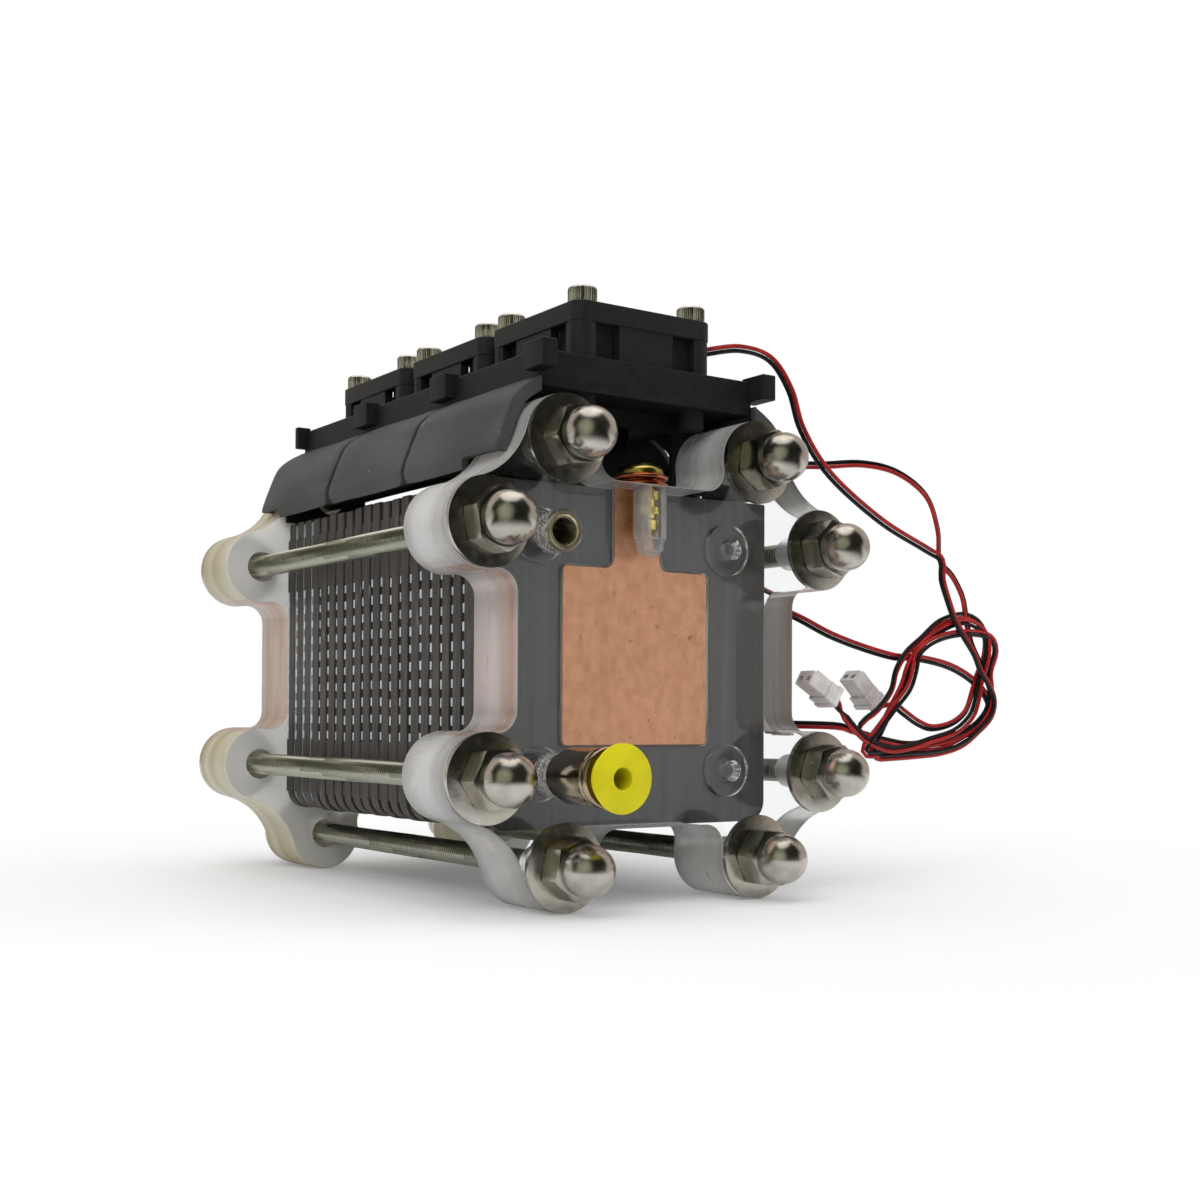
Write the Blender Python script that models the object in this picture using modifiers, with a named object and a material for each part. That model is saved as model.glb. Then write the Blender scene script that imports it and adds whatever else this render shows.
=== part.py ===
"""Open-cathode fuel cell stack: clear end plates, graphite cells, tie rods, fans, shroud and leads."""
import math

import bmesh
import bpy
from mathutils import Matrix, Vector

# Driving dimensions, in metres.
GAP = 0.0003                 # clearance between pieces that touch
CUT_OVER = 0.002             # how far a cutter runs past the face it cuts

PLATE_THICK = 0.0192         # clear end plate
PLATE_INSET = 0.0004         # how far the plate's waist lies inside the cells' edge
LOBE_R = 0.0103              # lobe round each tie rod
LOBE_STEP = 18.0             # degrees between the corners of a lobe
WAIST_FILLET = 0.0050        # hollow from a lobe to the waist
CORNER_HOLLOW = 0.0180       # hollow between the two lobes of a corner
ROD_ROOM = 0.0046            # from the cells' edge to a rod
ROD_IN = 0.0126              # from the cells' edge in to a rod, along the near face
ROD_HOLE_R = 0.0042

ROD_R = 0.0030
WASHER_R = 0.0101
WASHER_THICK = 0.0016
NUT_FLATS = 0.0128           # across flats
NUT_HEX_H = 0.0064
DOME_R = 0.0059
DOME_RISE = 0.0023           # straight part between the hexagon and the dome

CELL_COUNT = 20
CELL_THICK = 0.0050
CELL_HALF = 0.0404           # half width and half height
CELL_CORNER_R = 0.0050       # lower corners
CELL_TOP_R = 0.0006          # upper corners, nearly square
SEAL_SLOT_HALF = 0.0200      # half height of the slot that shows the seal
SEAL_SLOT_WIDE = 0.0007
SEAL_SLOT_DEEP = 0.0009

COLLECTOR_THICK = 0.0012
COLLECTOR_HALF = 0.0210
COLLECTOR_NECK = 0.0066      # half width of the neck and its tab
TERMINAL_FROM_FACE = 0.0095  # screw axis from the plate's outer face
TERMINAL_HOLE_R = 0.0028     # hole in the tab
INSERT_R = 0.0040
INSERT_DEEP = 0.0095
INSERT_SINK = 0.0008         # insert's top below the plate's edge
WELL_R = 0.0045
WELL_DEEP = 0.0120
WELL_TIP_R = 0.0038
WELL_TIP_DEEP = 0.0040
TERMINAL_SHANK_R = 0.0023
TERMINAL_WASHER_R = 0.0066
TERMINAL_WASHER_THICK = 0.0015
PAN_R = 0.0057
PAN_H = 0.0032

PORT_IN = 0.0129             # from the cells' edges in to a port's centre
PORT_BORE_R = 0.0051
PORT_BORE_DEEP = 0.0110
PORT_PASSAGE_R = 0.0024
SEAL_SEAT_R = 0.0065
SEAL_SEAT_DEEP = 0.0017
BLIND_DEEP = 0.0036
SLEEVE_BORE_R = 0.0035       # threaded sleeve of the outlet
SLEEVE_LONG = 0.0100
INLET_BODY_R = 0.0064
INLET_BODY_LONG = 0.0165
INLET_STUB_R = 0.0046
INLET_STUB_LONG = 0.0080
INLET_RIM_R = 0.0069
INLET_RIM_LONG = 0.0016
INLET_BORE_R = 0.0024
COLLET_R = 0.0076
COLLET_FLANGE = 0.0031
COLLET_TUBE_R = 0.0040
COLLET_TUBE_LONG = 0.0060
COLLET_TRAVEL = 0.0012       # how far the release collar can be pushed
RUN_FIT = 0.0004             # clearance round the collar's tube

FAN_SIDE = 0.0400
FAN_DEEP = 0.0200
FAN_PITCH = 0.0436
FAN_COUNT = 3
FAN_CORNER_R = 0.0030
FAN_BORE_R = 0.0188
FAN_HOLE_HALF = 0.0160       # half the screw pitch
FAN_HOLE_R = 0.0024
FAN_FLANGE = 0.0047
FAN_WINDOW_LONG = 0.0060
FAN_WINDOW_IN = 0.0055       # window's near end from the fan's corner
FAN_WINDOW_DEEP = 0.0030
FAN_BASE_R = 0.0112          # motor base
FAN_BASE_THICK = 0.0016
FAN_STRUT_WIDE = 0.0022
HUB_R = 0.0106
HUB_DEEP = 0.0150
HUB_GAP = 0.0004
BLADE_COUNT = 7
BLADE_TIP_R = 0.0178
BLADE_THICK = 0.0009
BLADE_HALF_RISE = 0.0055
BLADE_HALF_RUN = 0.0036
BLADE_CAMBER = 0.0009

TRAY_HALF = 0.0310
TRAY_WALL = 0.0012
PLENUM_TALL = 0.0204         # from the cells' top to the tray
TRAY_FLOOR = 0.0015
TRAY_TALL = 0.0084
TRAY_OPEN_R = 0.0180
TRAY_SHIFT = -0.0018         # tray's middle from the stack's middle
EAR_OUT = 0.0030
EAR_LONG = 0.0082
EAR_RISE = 0.0010            # clip's top above the tray's
EAR_TALL = 0.0062
END_EAR_FORWARD = 0.0058
REAR_EAR_LONG = 0.0020
PLENUM_WALL = 0.0014
PLENUM_MOUTH_HALF = 0.0170   # half width of the mouth in an end wall
PLENUM_MOUTH_DROP = 0.0040   # wall left between the tray and the mouth
SCREW_R = 0.0020
SCREW_HEAD_R = 0.0035
SCREW_HEAD_H = 0.0040
BOSS_R = 0.0034
BOSS_H = 0.0045

FLAP_BESIDE = 0.0033         # how far a flap stands out past the cells
FLAP_OVERLAP = 0.0022        # how far a flap's top reaches up the tray's side
FLAP_ROOM = 0.0036           # from the cells' top to where the curve turns straight down
FLAP_LIP = 0.0024            # straight lip under the curve
FLAP_THICK = 0.0017
FLAP_SEAM = 0.0012
FLAP_OVERHANG = 0.0665       # flaps' ends from the tray's middle
FLAP_NOTCH = 0.0046          # flap's lower edge above the waist of an end plate

LEAD_R = 0.0011
COIL_R = 0.0032
PLUG_LONG = 0.0098
PLUG_WIDE = 0.0074
PLUG_DEEP = 0.0057
PLUG_RIM = 0.0008

# Sizes and positions that follow from the ones above.
PLATE_WAIST = CELL_HALF - PLATE_INSET
ROD_FAR = CELL_HALF + ROD_ROOM + ROD_R
ROD_NEAR = CELL_HALF - ROD_IN
PORT_OFFSET = CELL_HALF - PORT_IN
TRAY_BOTTOM_Z = CELL_HALF + PLENUM_TALL
TRAY_TOP_Z = TRAY_BOTTOM_Z + TRAY_TALL
FAN_BASE_Z = TRAY_BOTTOM_Z + TRAY_FLOOR + GAP
FAN_TOP_Z = FAN_BASE_Z + FAN_DEEP
EAR_HIGH_Z = TRAY_TOP_Z + EAR_RISE
EAR_LOW_Z = EAR_HIGH_Z - EAR_TALL
FLAP_WIDE = CELL_HALF + FLAP_BESIDE - TRAY_HALF - GAP
FLAP_BASE_Z = CELL_HALF + FLAP_ROOM
FLAP_TALL = TRAY_BOTTOM_Z + FLAP_OVERLAP - FLAP_BASE_Z
FLAP_NOTCH_Z = PLATE_WAIST + FLAP_NOTCH
MIDDLE_Z = ROD_FAR + LOBE_R * math.cos(math.radians(LOBE_STEP / 2))
CORE_LONG = GAP + CELL_COUNT * (CELL_THICK + GAP)
STACK_LONG = 2 * PLATE_THICK + CORE_LONG
NUT_LONG = NUT_HEX_H + DOME_RISE + DOME_R
NUT_REACH = GAP + WASHER_THICK + NUT_LONG
INLET_REACH = GAP + INLET_BODY_LONG + INLET_RIM_LONG + COLLET_TRAVEL + GAP + COLLET_FLANGE
FRONT_Y = (INLET_REACH - NUT_REACH - STACK_LONG) / 2
INNER_Y = FRONT_Y + PLATE_THICK
REAR_INNER_Y = INNER_Y + CORE_LONG
REAR_Y = FRONT_Y + STACK_LONG
STACK_MID_Y = (FRONT_Y + REAR_Y) / 2
TRAY_MID_Y = STACK_MID_Y + TRAY_SHIFT
FAN_ROW_LONG = (FAN_COUNT - 1) * FAN_PITCH + FAN_SIDE
TRAY_LONG = FAN_ROW_LONG + 2 * (GAP + TRAY_WALL)
TRAY_FRONT_Y = TRAY_MID_Y - TRAY_LONG / 2
TRAY_REAR_Y = TRAY_MID_Y + TRAY_LONG / 2
TRAY_FLOOR_Z = TRAY_BOTTOM_Z + TRAY_FLOOR
TERMINAL_SEAT_Z = PLATE_WAIST + GAP + COLLECTOR_THICK


def start_clean():
    for thing in list(bpy.data.objects):
        bpy.data.objects.remove(thing, do_unlink=True)


def make_collection(name):
    group = bpy.data.collections.new(name)
    bpy.context.scene.collection.children.link(group)
    return group


def make_material(name, colour, roughness, metallic=0.0, alpha=1.0):
    material = bpy.data.materials.new(name)
    material.use_nodes = True
    shader = material.node_tree.nodes["Principled BSDF"]
    shader.inputs["Base Color"].default_value = (*colour, 1.0)
    shader.inputs["Roughness"].default_value = roughness
    shader.inputs["Metallic"].default_value = metallic
    shader.inputs["Alpha"].default_value = alpha
    return material


def add_object(name, data, group):
    thing = bpy.data.objects.new(name, data)
    group.objects.link(thing)
    return thing


def add_cutter(name, data):
    cutter = add_object(name, data, CUTTERS)
    cutter.hide_render = True
    cutter.display_type = "WIRE"
    return cutter


def boxes_mesh(name, boxes):
    """One mesh of separate boxes, each given by its low and high corners."""
    mesh = bpy.data.meshes.new(name)
    shape = bmesh.new()
    for low, high in boxes:
        low, high = Vector(low), Vector(high)
        size = high - low
        place = Matrix.Translation((low + high) / 2) @ Matrix.Diagonal((*size, 1.0))
        bmesh.ops.create_cube(shape, size=1.0, matrix=place)
    shape.to_mesh(mesh)
    shape.free()
    return mesh


def rods_mesh(name, rods, sides, turn=Matrix.Identity(4)):
    """One mesh of separate cylinders, each given by radius, length and centre."""
    mesh = bpy.data.meshes.new(name)
    shape = bmesh.new()
    for radius, length, centre in rods:
        bmesh.ops.create_cone(shape, cap_ends=True, segments=sides, radius1=radius, radius2=radius,
                              depth=length, matrix=Matrix.Translation(centre) @ turn)
    shape.to_mesh(mesh)
    shape.free()
    return mesh


def combine(thing, other, operation):
    step = thing.modifiers.new(other.name, "BOOLEAN")
    step.operation = operation
    step.solver = "EXACT"
    step.object = other


def baked_mesh(thing, name):
    """The mesh that the object's modifiers give, with its loose caps welded."""
    bpy.context.view_layer.update()
    shaped = thing.evaluated_get(bpy.context.evaluated_depsgraph_get())
    mesh = bpy.data.meshes.new_from_object(shaped)
    mesh.name = name
    shape = bmesh.new()
    shape.from_mesh(mesh)
    bmesh.ops.remove_doubles(shape, verts=shape.verts, dist=0.000001)
    shape.to_mesh(mesh)
    shape.free()
    return mesh


def outline_mesh(name, points, thick):
    """A flat outline in local X and Y, as thick as given and centred on local Z."""
    curve = bpy.data.curves.new(name, "CURVE")
    curve.dimensions = "2D"
    curve.fill_mode = "BOTH"
    curve.extrude = thick / 2
    line = curve.splines.new("POLY")
    line.points.add(len(points) - 1)
    for spot, (x, y) in zip(line.points, points):
        spot.co = (x, y, 0.0, 1.0)
    line.use_cyclic_u = True
    guide = add_object(name, curve, CUTTERS)
    mesh = baked_mesh(guide, name)
    bpy.data.objects.remove(guide)
    return mesh


def stand_upright(thing, mid_y, x=0.0, z=0.0):
    """Turns a flat outline to face along Y, so its local Y is the height."""
    thing.rotation_euler = (math.radians(90), 0.0, 0.0)
    thing.location = (x, mid_y, z)


def turned_mesh(name, profile, sides):
    """A solid turned round local Z from a profile that runs down its outer side."""
    mesh = bpy.data.meshes.new(name)
    edges = [(i, i + 1) for i in range(len(profile) - 1)]
    mesh.from_pydata([(r, 0.0, z) for r, z in profile], edges, [])
    guide = add_object(name, mesh, CUTTERS)
    lathe = guide.modifiers.new("turn", "SCREW")
    lathe.steps = sides
    lathe.render_steps = sides
    lathe.use_merge_vertices = True
    lathe.merge_threshold = 0.000001
    turned = baked_mesh(guide, name)
    bpy.data.objects.remove(guide)
    return turned


def closed_ring(profile):
    return profile + profile[:1]


def arc(cx, cy, radius, start, end, steps):
    """Points on an arc from start to end, in degrees, with both ends."""
    points = []
    for i in range(steps + 1):
        angle = math.radians(start + (end - start) * i / steps)
        points.append((cx + radius * math.cos(angle), cy + radius * math.sin(angle)))
    return points


def lobe_arc(cx, cy, start, end):
    """A lobe whose facets lie square to the plate's sides."""
    stops = [start]
    angle = -360.0 + LOBE_STEP / 2
    while angle < end - LOBE_STEP / 3:
        if angle > start + LOBE_STEP / 3:
            stops.append(angle)
        angle += LOBE_STEP
    stops.append(end)
    return [(cx + LOBE_R * math.cos(math.radians(a)), cy + LOBE_R * math.sin(math.radians(a)))
            for a in stops]


def quarter_outline():
    """One quarter of the end plate, from the waist at +X round to the waist at +Y."""
    reach = LOBE_R + WAIST_FILLET
    side = ROD_FAR - PLATE_WAIST - WAIST_FILLET
    rise = math.sqrt(reach ** 2 - side ** 2)
    fillet_x = PLATE_WAIST + WAIST_FILLET
    fillet_y = ROD_NEAR - rise
    fillet_end = math.degrees(math.atan2(rise, side))
    span = LOBE_R + CORNER_HOLLOW
    total = ROD_FAR + ROD_NEAR
    square = 2 * (ROD_FAR ** 2 + ROD_NEAR ** 2 - span ** 2)
    hollow = (total + math.sqrt(total ** 2 - square)) / 2
    to_hollow = math.degrees(math.atan2(hollow - ROD_NEAR, hollow - ROD_FAR))
    points = arc(fillet_x, fillet_y, WAIST_FILLET, 180, fillet_end, 3)
    points += lobe_arc(ROD_FAR, ROD_NEAR, fillet_end - 180, to_hollow)[1:]
    points += arc(hollow, hollow, CORNER_HOLLOW, to_hollow - 180, -90 - to_hollow, 5)[1:]
    points += lobe_arc(ROD_NEAR, ROD_FAR, 90 - to_hollow, 270 - fillet_end)[1:]
    points += arc(fillet_y, fillet_x, WAIST_FILLET, 90 - fillet_end, -90, 3)[1:]
    return points


def plate_outline():
    points = []
    for quarter in range(4):
        angle = math.radians(90 * quarter)
        for x, y in quarter_outline():
            points.append((x * math.cos(angle) - y * math.sin(angle),
                           x * math.sin(angle) + y * math.cos(angle)))
    return points


def rounded_square(half, radius, steps):
    points = []
    inner = half - radius
    for turn, (sx, sy) in enumerate(((1, 1), (-1, 1), (-1, -1), (1, -1))):
        points += arc(sx * inner, sy * inner, radius, 90 * turn, 90 * turn + 90, steps)
    return points


def rod_places():
    """Tie rod centres, in pairs round the plate from the upper left."""
    near, far = ROD_NEAR, ROD_FAR
    return [(-near, far), (near, far), (far, near), (far, -near),
            (near, -far), (-near, -far), (-far, -near), (-far, near)]


def make_plate(name, outer_y, inner_y, ports):
    """An end plate between its outer and inner faces."""
    inward = 1.0 if inner_y > outer_y else -1.0
    mid_y = (outer_y + inner_y) / 2
    plate = add_object(name, outline_mesh(name, plate_outline(), PLATE_THICK), PARTS)
    stand_upright(plate, mid_y, z=MIDDLE_Z)
    plate.data.materials.append(CLEAR)
    along_y = Matrix.Rotation(math.radians(90), 4, "X")
    holes = [(ROD_HOLE_R, PLATE_THICK + 2 * CUT_OVER, (x, mid_y, MIDDLE_Z + z)) for x, z in rod_places()]
    combine(plate, add_cutter(name + "_rod_holes", rods_mesh(name + "_rod_holes", holes, 10, along_y)),
            "DIFFERENCE")
    combine(plate, collector_pocket(name, inner_y, inward), "DIFFERENCE")
    combine(plate, terminal_well(name, outer_y + inward * TERMINAL_FROM_FACE), "DIFFERENCE")
    if ports:
        for side in (-1, 1):
            for level in (-1, 1):
                combine(plate, port_cutter(name, side, level), "DIFFERENCE")


def collector_pocket(name, inner_y, inward):
    """The recess for the collector in the inner face, open at the top of the neck."""
    deep = COLLECTOR_THICK + GAP
    cutter = add_cutter(name + "_pocket",
                        outline_mesh(name + "_pocket", collector_outline(GAP, CUT_OVER), deep + CUT_OVER))
    stand_upright(cutter, inner_y - inward * (deep - CUT_OVER) / 2, z=MIDDLE_Z)
    return cutter


def collector_outline(grow, top):
    """The square of the collector with its neck, which runs to the plate's edge and past it by top."""
    half, neck = COLLECTOR_HALF + grow, COLLECTOR_NECK + grow
    high = PLATE_WAIST + top
    return [(-half, -half), (half, -half), (half, half), (neck, half),
            (neck, high), (-neck, high), (-neck, half), (-half, half)]


def terminal_well(name, y):
    """The stepped well that takes the threaded insert, down from the waist at the top."""
    top = PLATE_WAIST + CUT_OVER
    shoulder = PLATE_WAIST - WELL_DEEP
    tip = shoulder - WELL_TIP_DEEP
    profile = [(0.0, top), (WELL_R, top), (WELL_R, shoulder), (WELL_TIP_R, shoulder), (WELL_TIP_R, tip), (0.0, tip)]
    cutter = add_cutter(name + "_well", turned_mesh(name + "_well", profile, 14))
    cutter.location = (0.0, y, MIDDLE_Z)
    return cutter


def port_cutter(name, side, level):
    """A gas port: a seal seat in the inner face, and on the left a bore from the outer face."""
    seat = PLATE_THICK - SEAL_SEAT_DEEP
    end = PLATE_THICK + CUT_OVER
    if side < 0:
        profile = [(0.0, end), (SEAL_SEAT_R, end), (SEAL_SEAT_R, seat), (PORT_PASSAGE_R, seat),
                   (PORT_PASSAGE_R, PORT_BORE_DEEP), (PORT_BORE_R, PORT_BORE_DEEP),
                   (PORT_BORE_R, -CUT_OVER), (0.0, -CUT_OVER)]
    else:
        blind = seat - BLIND_DEEP
        profile = [(0.0, end), (SEAL_SEAT_R, end), (SEAL_SEAT_R, seat), (PORT_PASSAGE_R, seat),
                   (PORT_PASSAGE_R, blind), (0.0, blind - PORT_PASSAGE_R / 2)]
    label = f"{name}_port_{'left' if side < 0 else 'right'}_{'low' if level < 0 else 'high'}"
    cutter = add_cutter(label, turned_mesh(label, profile, 12))
    cutter.rotation_euler = (math.radians(-90), 0.0, 0.0)
    cutter.location = (side * PORT_OFFSET, FRONT_Y, MIDDLE_Z + level * PORT_OFFSET)
    return cutter


def dome_profile(base):
    """The dome of a cap nut, from its tip down to its base."""
    centre = base + DOME_RISE
    points = [(DOME_R * math.cos(math.radians(a)), centre + DOME_R * math.sin(math.radians(a)))
              for a in (90, 62, 34, 0)]
    points[0] = (0.0, centre + DOME_R)
    return points + [(DOME_R, base - 0.0005), (0.0, base - 0.0005)]


def tie_rod_mesh():
    """A threaded rod with a washer and a cap nut at both ends, fused, along local Z."""
    face = STACK_LONG / 2 + GAP
    washer = face + WASHER_THICK
    hexagon = washer + NUT_HEX_H
    rod = add_cutter("tie_rod_bar", rods_mesh("tie_rod_bar", [(ROD_R, 2 * washer + NUT_HEX_H, (0, 0, 0))], 8))
    mid = face + WASHER_THICK / 2
    washers = [(WASHER_R, WASHER_THICK, (0, 0, end * mid)) for end in (-1, 1)]
    nut_long = NUT_HEX_H + WASHER_THICK / 4
    nut_mid = hexagon - nut_long / 2
    nuts = [(NUT_FLATS / 2 / math.cos(math.radians(30)), nut_long, (0, 0, end * nut_mid)) for end in (-1, 1)]
    dome = turned_mesh("cap_dome", dome_profile(hexagon), 10)
    helpers = [add_cutter("tie_rod_washers", rods_mesh("tie_rod_washers", washers, 18)),
               add_cutter("tie_rod_nuts", rods_mesh("tie_rod_nuts", nuts, 6)),
               add_cutter("cap_dome_rear", dome), add_cutter("cap_dome_front", dome)]
    helpers[3].rotation_euler = (math.pi, 0.0, 0.0)
    for helper in helpers:
        combine(rod, helper, "UNION")
    mesh = baked_mesh(rod, "tie_rod")
    for thing in [rod] + helpers:
        bpy.data.objects.remove(thing)
    return mesh


def make_tie_rods():
    mesh = tie_rod_mesh()
    mesh.materials.append(STEEL)
    for number, (x, z) in enumerate(rod_places(), 1):
        rod = add_object(f"tie_rod_{number}", mesh, PARTS)
        rod.rotation_euler = (math.radians(-90), 0.0, 0.0)
        rod.location = (x, STACK_MID_Y, MIDDLE_Z + z)


def cell_outline():
    """A square with rounded lower corners and nearly square upper ones."""
    corners = ((1, 1, CELL_TOP_R, 1), (-1, 1, CELL_TOP_R, 1), (-1, -1, CELL_CORNER_R, 2), (1, -1, CELL_CORNER_R, 2))
    points = []
    for turn, (sx, sy, radius, steps) in enumerate(corners):
        inner = CELL_HALF - radius
        points += arc(sx * inner, sy * inner, radius, 90 * turn, 90 * turn + 90, steps)
    return points


def cell_mesh():
    """A graphite plate with the slot in each side that shows the seal, facing along local Z."""
    plate = add_cutter("cell_blank", outline_mesh("cell_blank", cell_outline(), CELL_THICK))
    face = -CELL_THICK / 2
    slots = []
    for side in (-1, 1):
        ends = sorted((side * (CELL_HALF - SEAL_SLOT_DEEP), side * (CELL_HALF + CUT_OVER)))
        slots.append(((ends[0], -SEAL_SLOT_HALF, face - CUT_OVER), (ends[1], SEAL_SLOT_HALF, face + SEAL_SLOT_WIDE)))
    cutter = add_cutter("seal_slots", boxes_mesh("seal_slots", slots))
    combine(plate, cutter, "DIFFERENCE")
    mesh = baked_mesh(plate, "cell")
    for thing in (plate, cutter):
        bpy.data.objects.remove(thing)
    return mesh


def make_cells():
    mesh = cell_mesh()
    mesh.materials.append(GRAPHITE)
    for number in range(CELL_COUNT):
        mid_y = INNER_Y + GAP + CELL_THICK / 2 + number * (CELL_THICK + GAP)
        cell = add_object(f"cell_{number + 1:02d}", mesh, PARTS)
        stand_upright(cell, mid_y, z=MIDDLE_Z)


def make_collector(name, outer_y, inner_y):
    """A copper sheet in the plate's pocket, whose neck is bent over the plate's edge as a tab."""
    inward = 1.0 if inner_y > outer_y else -1.0
    top = GAP + COLLECTOR_THICK
    sheet = add_object(name, outline_mesh(name, collector_outline(0.0, top), COLLECTOR_THICK), PARTS)
    stand_upright(sheet, inner_y - inward * COLLECTOR_THICK / 2, z=MIDDLE_Z)
    sheet.data.materials.append(COPPER)
    screw_y = outer_y + inward * TERMINAL_FROM_FACE
    reach = abs(inner_y - screw_y) - COLLECTOR_THICK / 2
    half_turn = arc(0.0, 0.0, COLLECTOR_NECK, 180, 360, 8)
    outline = half_turn + [(COLLECTOR_NECK, reach), (-COLLECTOR_NECK, reach)]
    if inward < 0:
        outline = [(-x, -y) for x, y in outline]
    tab = add_cutter(name + "_tab", outline_mesh(name + "_tab", outline, COLLECTOR_THICK))
    tab.location = (0.0, screw_y, MIDDLE_Z + PLATE_WAIST + GAP + COLLECTOR_THICK / 2)
    combine(sheet, tab, "UNION")
    hole = [(TERMINAL_HOLE_R, COLLECTOR_THICK + 2 * CUT_OVER, tab.location)]
    combine(sheet, add_cutter(name + "_hole", rods_mesh(name + "_hole", hole, 12)), "DIFFERENCE")


def make_terminal(name, outer_y, inner_y):
    """A pan screw with its washer and the threaded insert it holds in, turned round local Z."""
    inward = 1.0 if inner_y > outer_y else -1.0
    washer = TERMINAL_SEAT_Z + GAP
    pan = washer + TERMINAL_WASHER_THICK
    sleeve = PLATE_WAIST - INSERT_SINK
    bottom = sleeve - INSERT_DEEP
    tip = bottom - GAP - WELL_TIP_DEEP / 2
    profile = [(0.0, pan + PAN_H), (PAN_R * 0.62, pan + PAN_H), (PAN_R, pan + PAN_H * 0.6), (PAN_R, pan),
               (TERMINAL_WASHER_R, pan), (TERMINAL_WASHER_R, washer), (TERMINAL_SHANK_R, washer),
               (TERMINAL_SHANK_R, sleeve), (INSERT_R, sleeve), (INSERT_R, bottom),
               (TERMINAL_SHANK_R, bottom), (TERMINAL_SHANK_R, tip), (0.0, tip)]
    screw = add_object(name, turned_mesh(name, profile, 14), PARTS)
    screw.data.materials.append(BRASS)
    screw.location = (0.0, outer_y + inward * TERMINAL_FROM_FACE, MIDDLE_Z)


def make_outlet():
    """The threaded sleeve flush in the upper port."""
    outer = PORT_BORE_R - GAP
    profile = closed_ring([(SLEEVE_BORE_R, SLEEVE_LONG), (outer, SLEEVE_LONG), (outer, 0.0), (SLEEVE_BORE_R, 0.0)])
    sleeve = add_object("outlet_sleeve", turned_mesh("outlet_sleeve", profile, 16), PARTS)
    sleeve.data.materials.append(BRASS)
    sleeve.rotation_euler = (math.radians(-90), 0.0, 0.0)
    sleeve.location = (-PORT_OFFSET, FRONT_Y, MIDDLE_Z + PORT_OFFSET)


def make_inlet():
    """The push-in fitting in the lower port; its local Z points out of the plate."""
    seat = GAP
    body = seat + INLET_BODY_LONG
    rim = body + INLET_RIM_LONG
    throat = COLLET_TUBE_R + RUN_FIT
    socket = rim - COLLET_TUBE_LONG - GAP
    profile = closed_ring([(throat, rim), (INLET_RIM_R, rim), (INLET_RIM_R, body), (INLET_BODY_R, body),
                           (INLET_BODY_R, seat), (INLET_STUB_R, seat), (INLET_STUB_R, -INLET_STUB_LONG),
                           (INLET_BORE_R, -INLET_STUB_LONG), (INLET_BORE_R, socket), (throat, socket)])
    fitting = add_object("inlet_body", turned_mesh("inlet_body", profile, 14), PARTS)
    fitting.data.materials.append(NICKEL)
    fitting.rotation_euler = (math.radians(90), 0.0, 0.0)
    fitting.location = (-PORT_OFFSET, FRONT_Y, MIDDLE_Z - PORT_OFFSET)
    return rim


def make_collet(rim):
    """The release collar, which slides into the fitting; its origin is on its axis."""
    back = rim + COLLET_TRAVEL + GAP
    front = back + COLLET_FLANGE
    end = back - COLLET_TUBE_LONG + COLLET_TRAVEL
    profile = closed_ring([(INLET_BORE_R, front), (COLLET_R, front), (COLLET_R, back), (COLLET_TUBE_R, back),
                           (COLLET_TUBE_R, end), (INLET_BORE_R, end)])
    collar = add_object("inlet_collet", turned_mesh("inlet_collet", profile, 16), PARTS)
    collar.data.materials.append(YELLOW)
    collar.rotation_euler = (math.radians(90), 0.0, 0.0)
    collar.location = (-PORT_OFFSET, FRONT_Y, MIDDLE_Z - PORT_OFFSET)


def fan_centres():
    return [TRAY_MID_Y + (i - (FAN_COUNT - 1) / 2) * FAN_PITCH for i in range(FAN_COUNT)]


def fan_windows():
    """Side windows between the flanges, two on each side near the corners."""
    low, high = -FAN_DEEP / 2 + FAN_FLANGE, FAN_DEEP / 2 - FAN_FLANGE
    far = FAN_SIDE / 2 - FAN_WINDOW_IN
    near = far - FAN_WINDOW_LONG
    inner, outer = FAN_SIDE / 2 - FAN_WINDOW_DEEP, FAN_SIDE / 2 + CUT_OVER
    windows = []
    for end in (-1, 1):
        for side in (-1, 1):
            along, across = sorted((side * near, side * far)), sorted((end * inner, end * outer))
            windows.append(((along[0], across[0], low), (along[1], across[1], high)))
            windows.append(((across[0], along[0], low), (across[1], along[1], high)))
    return windows


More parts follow.
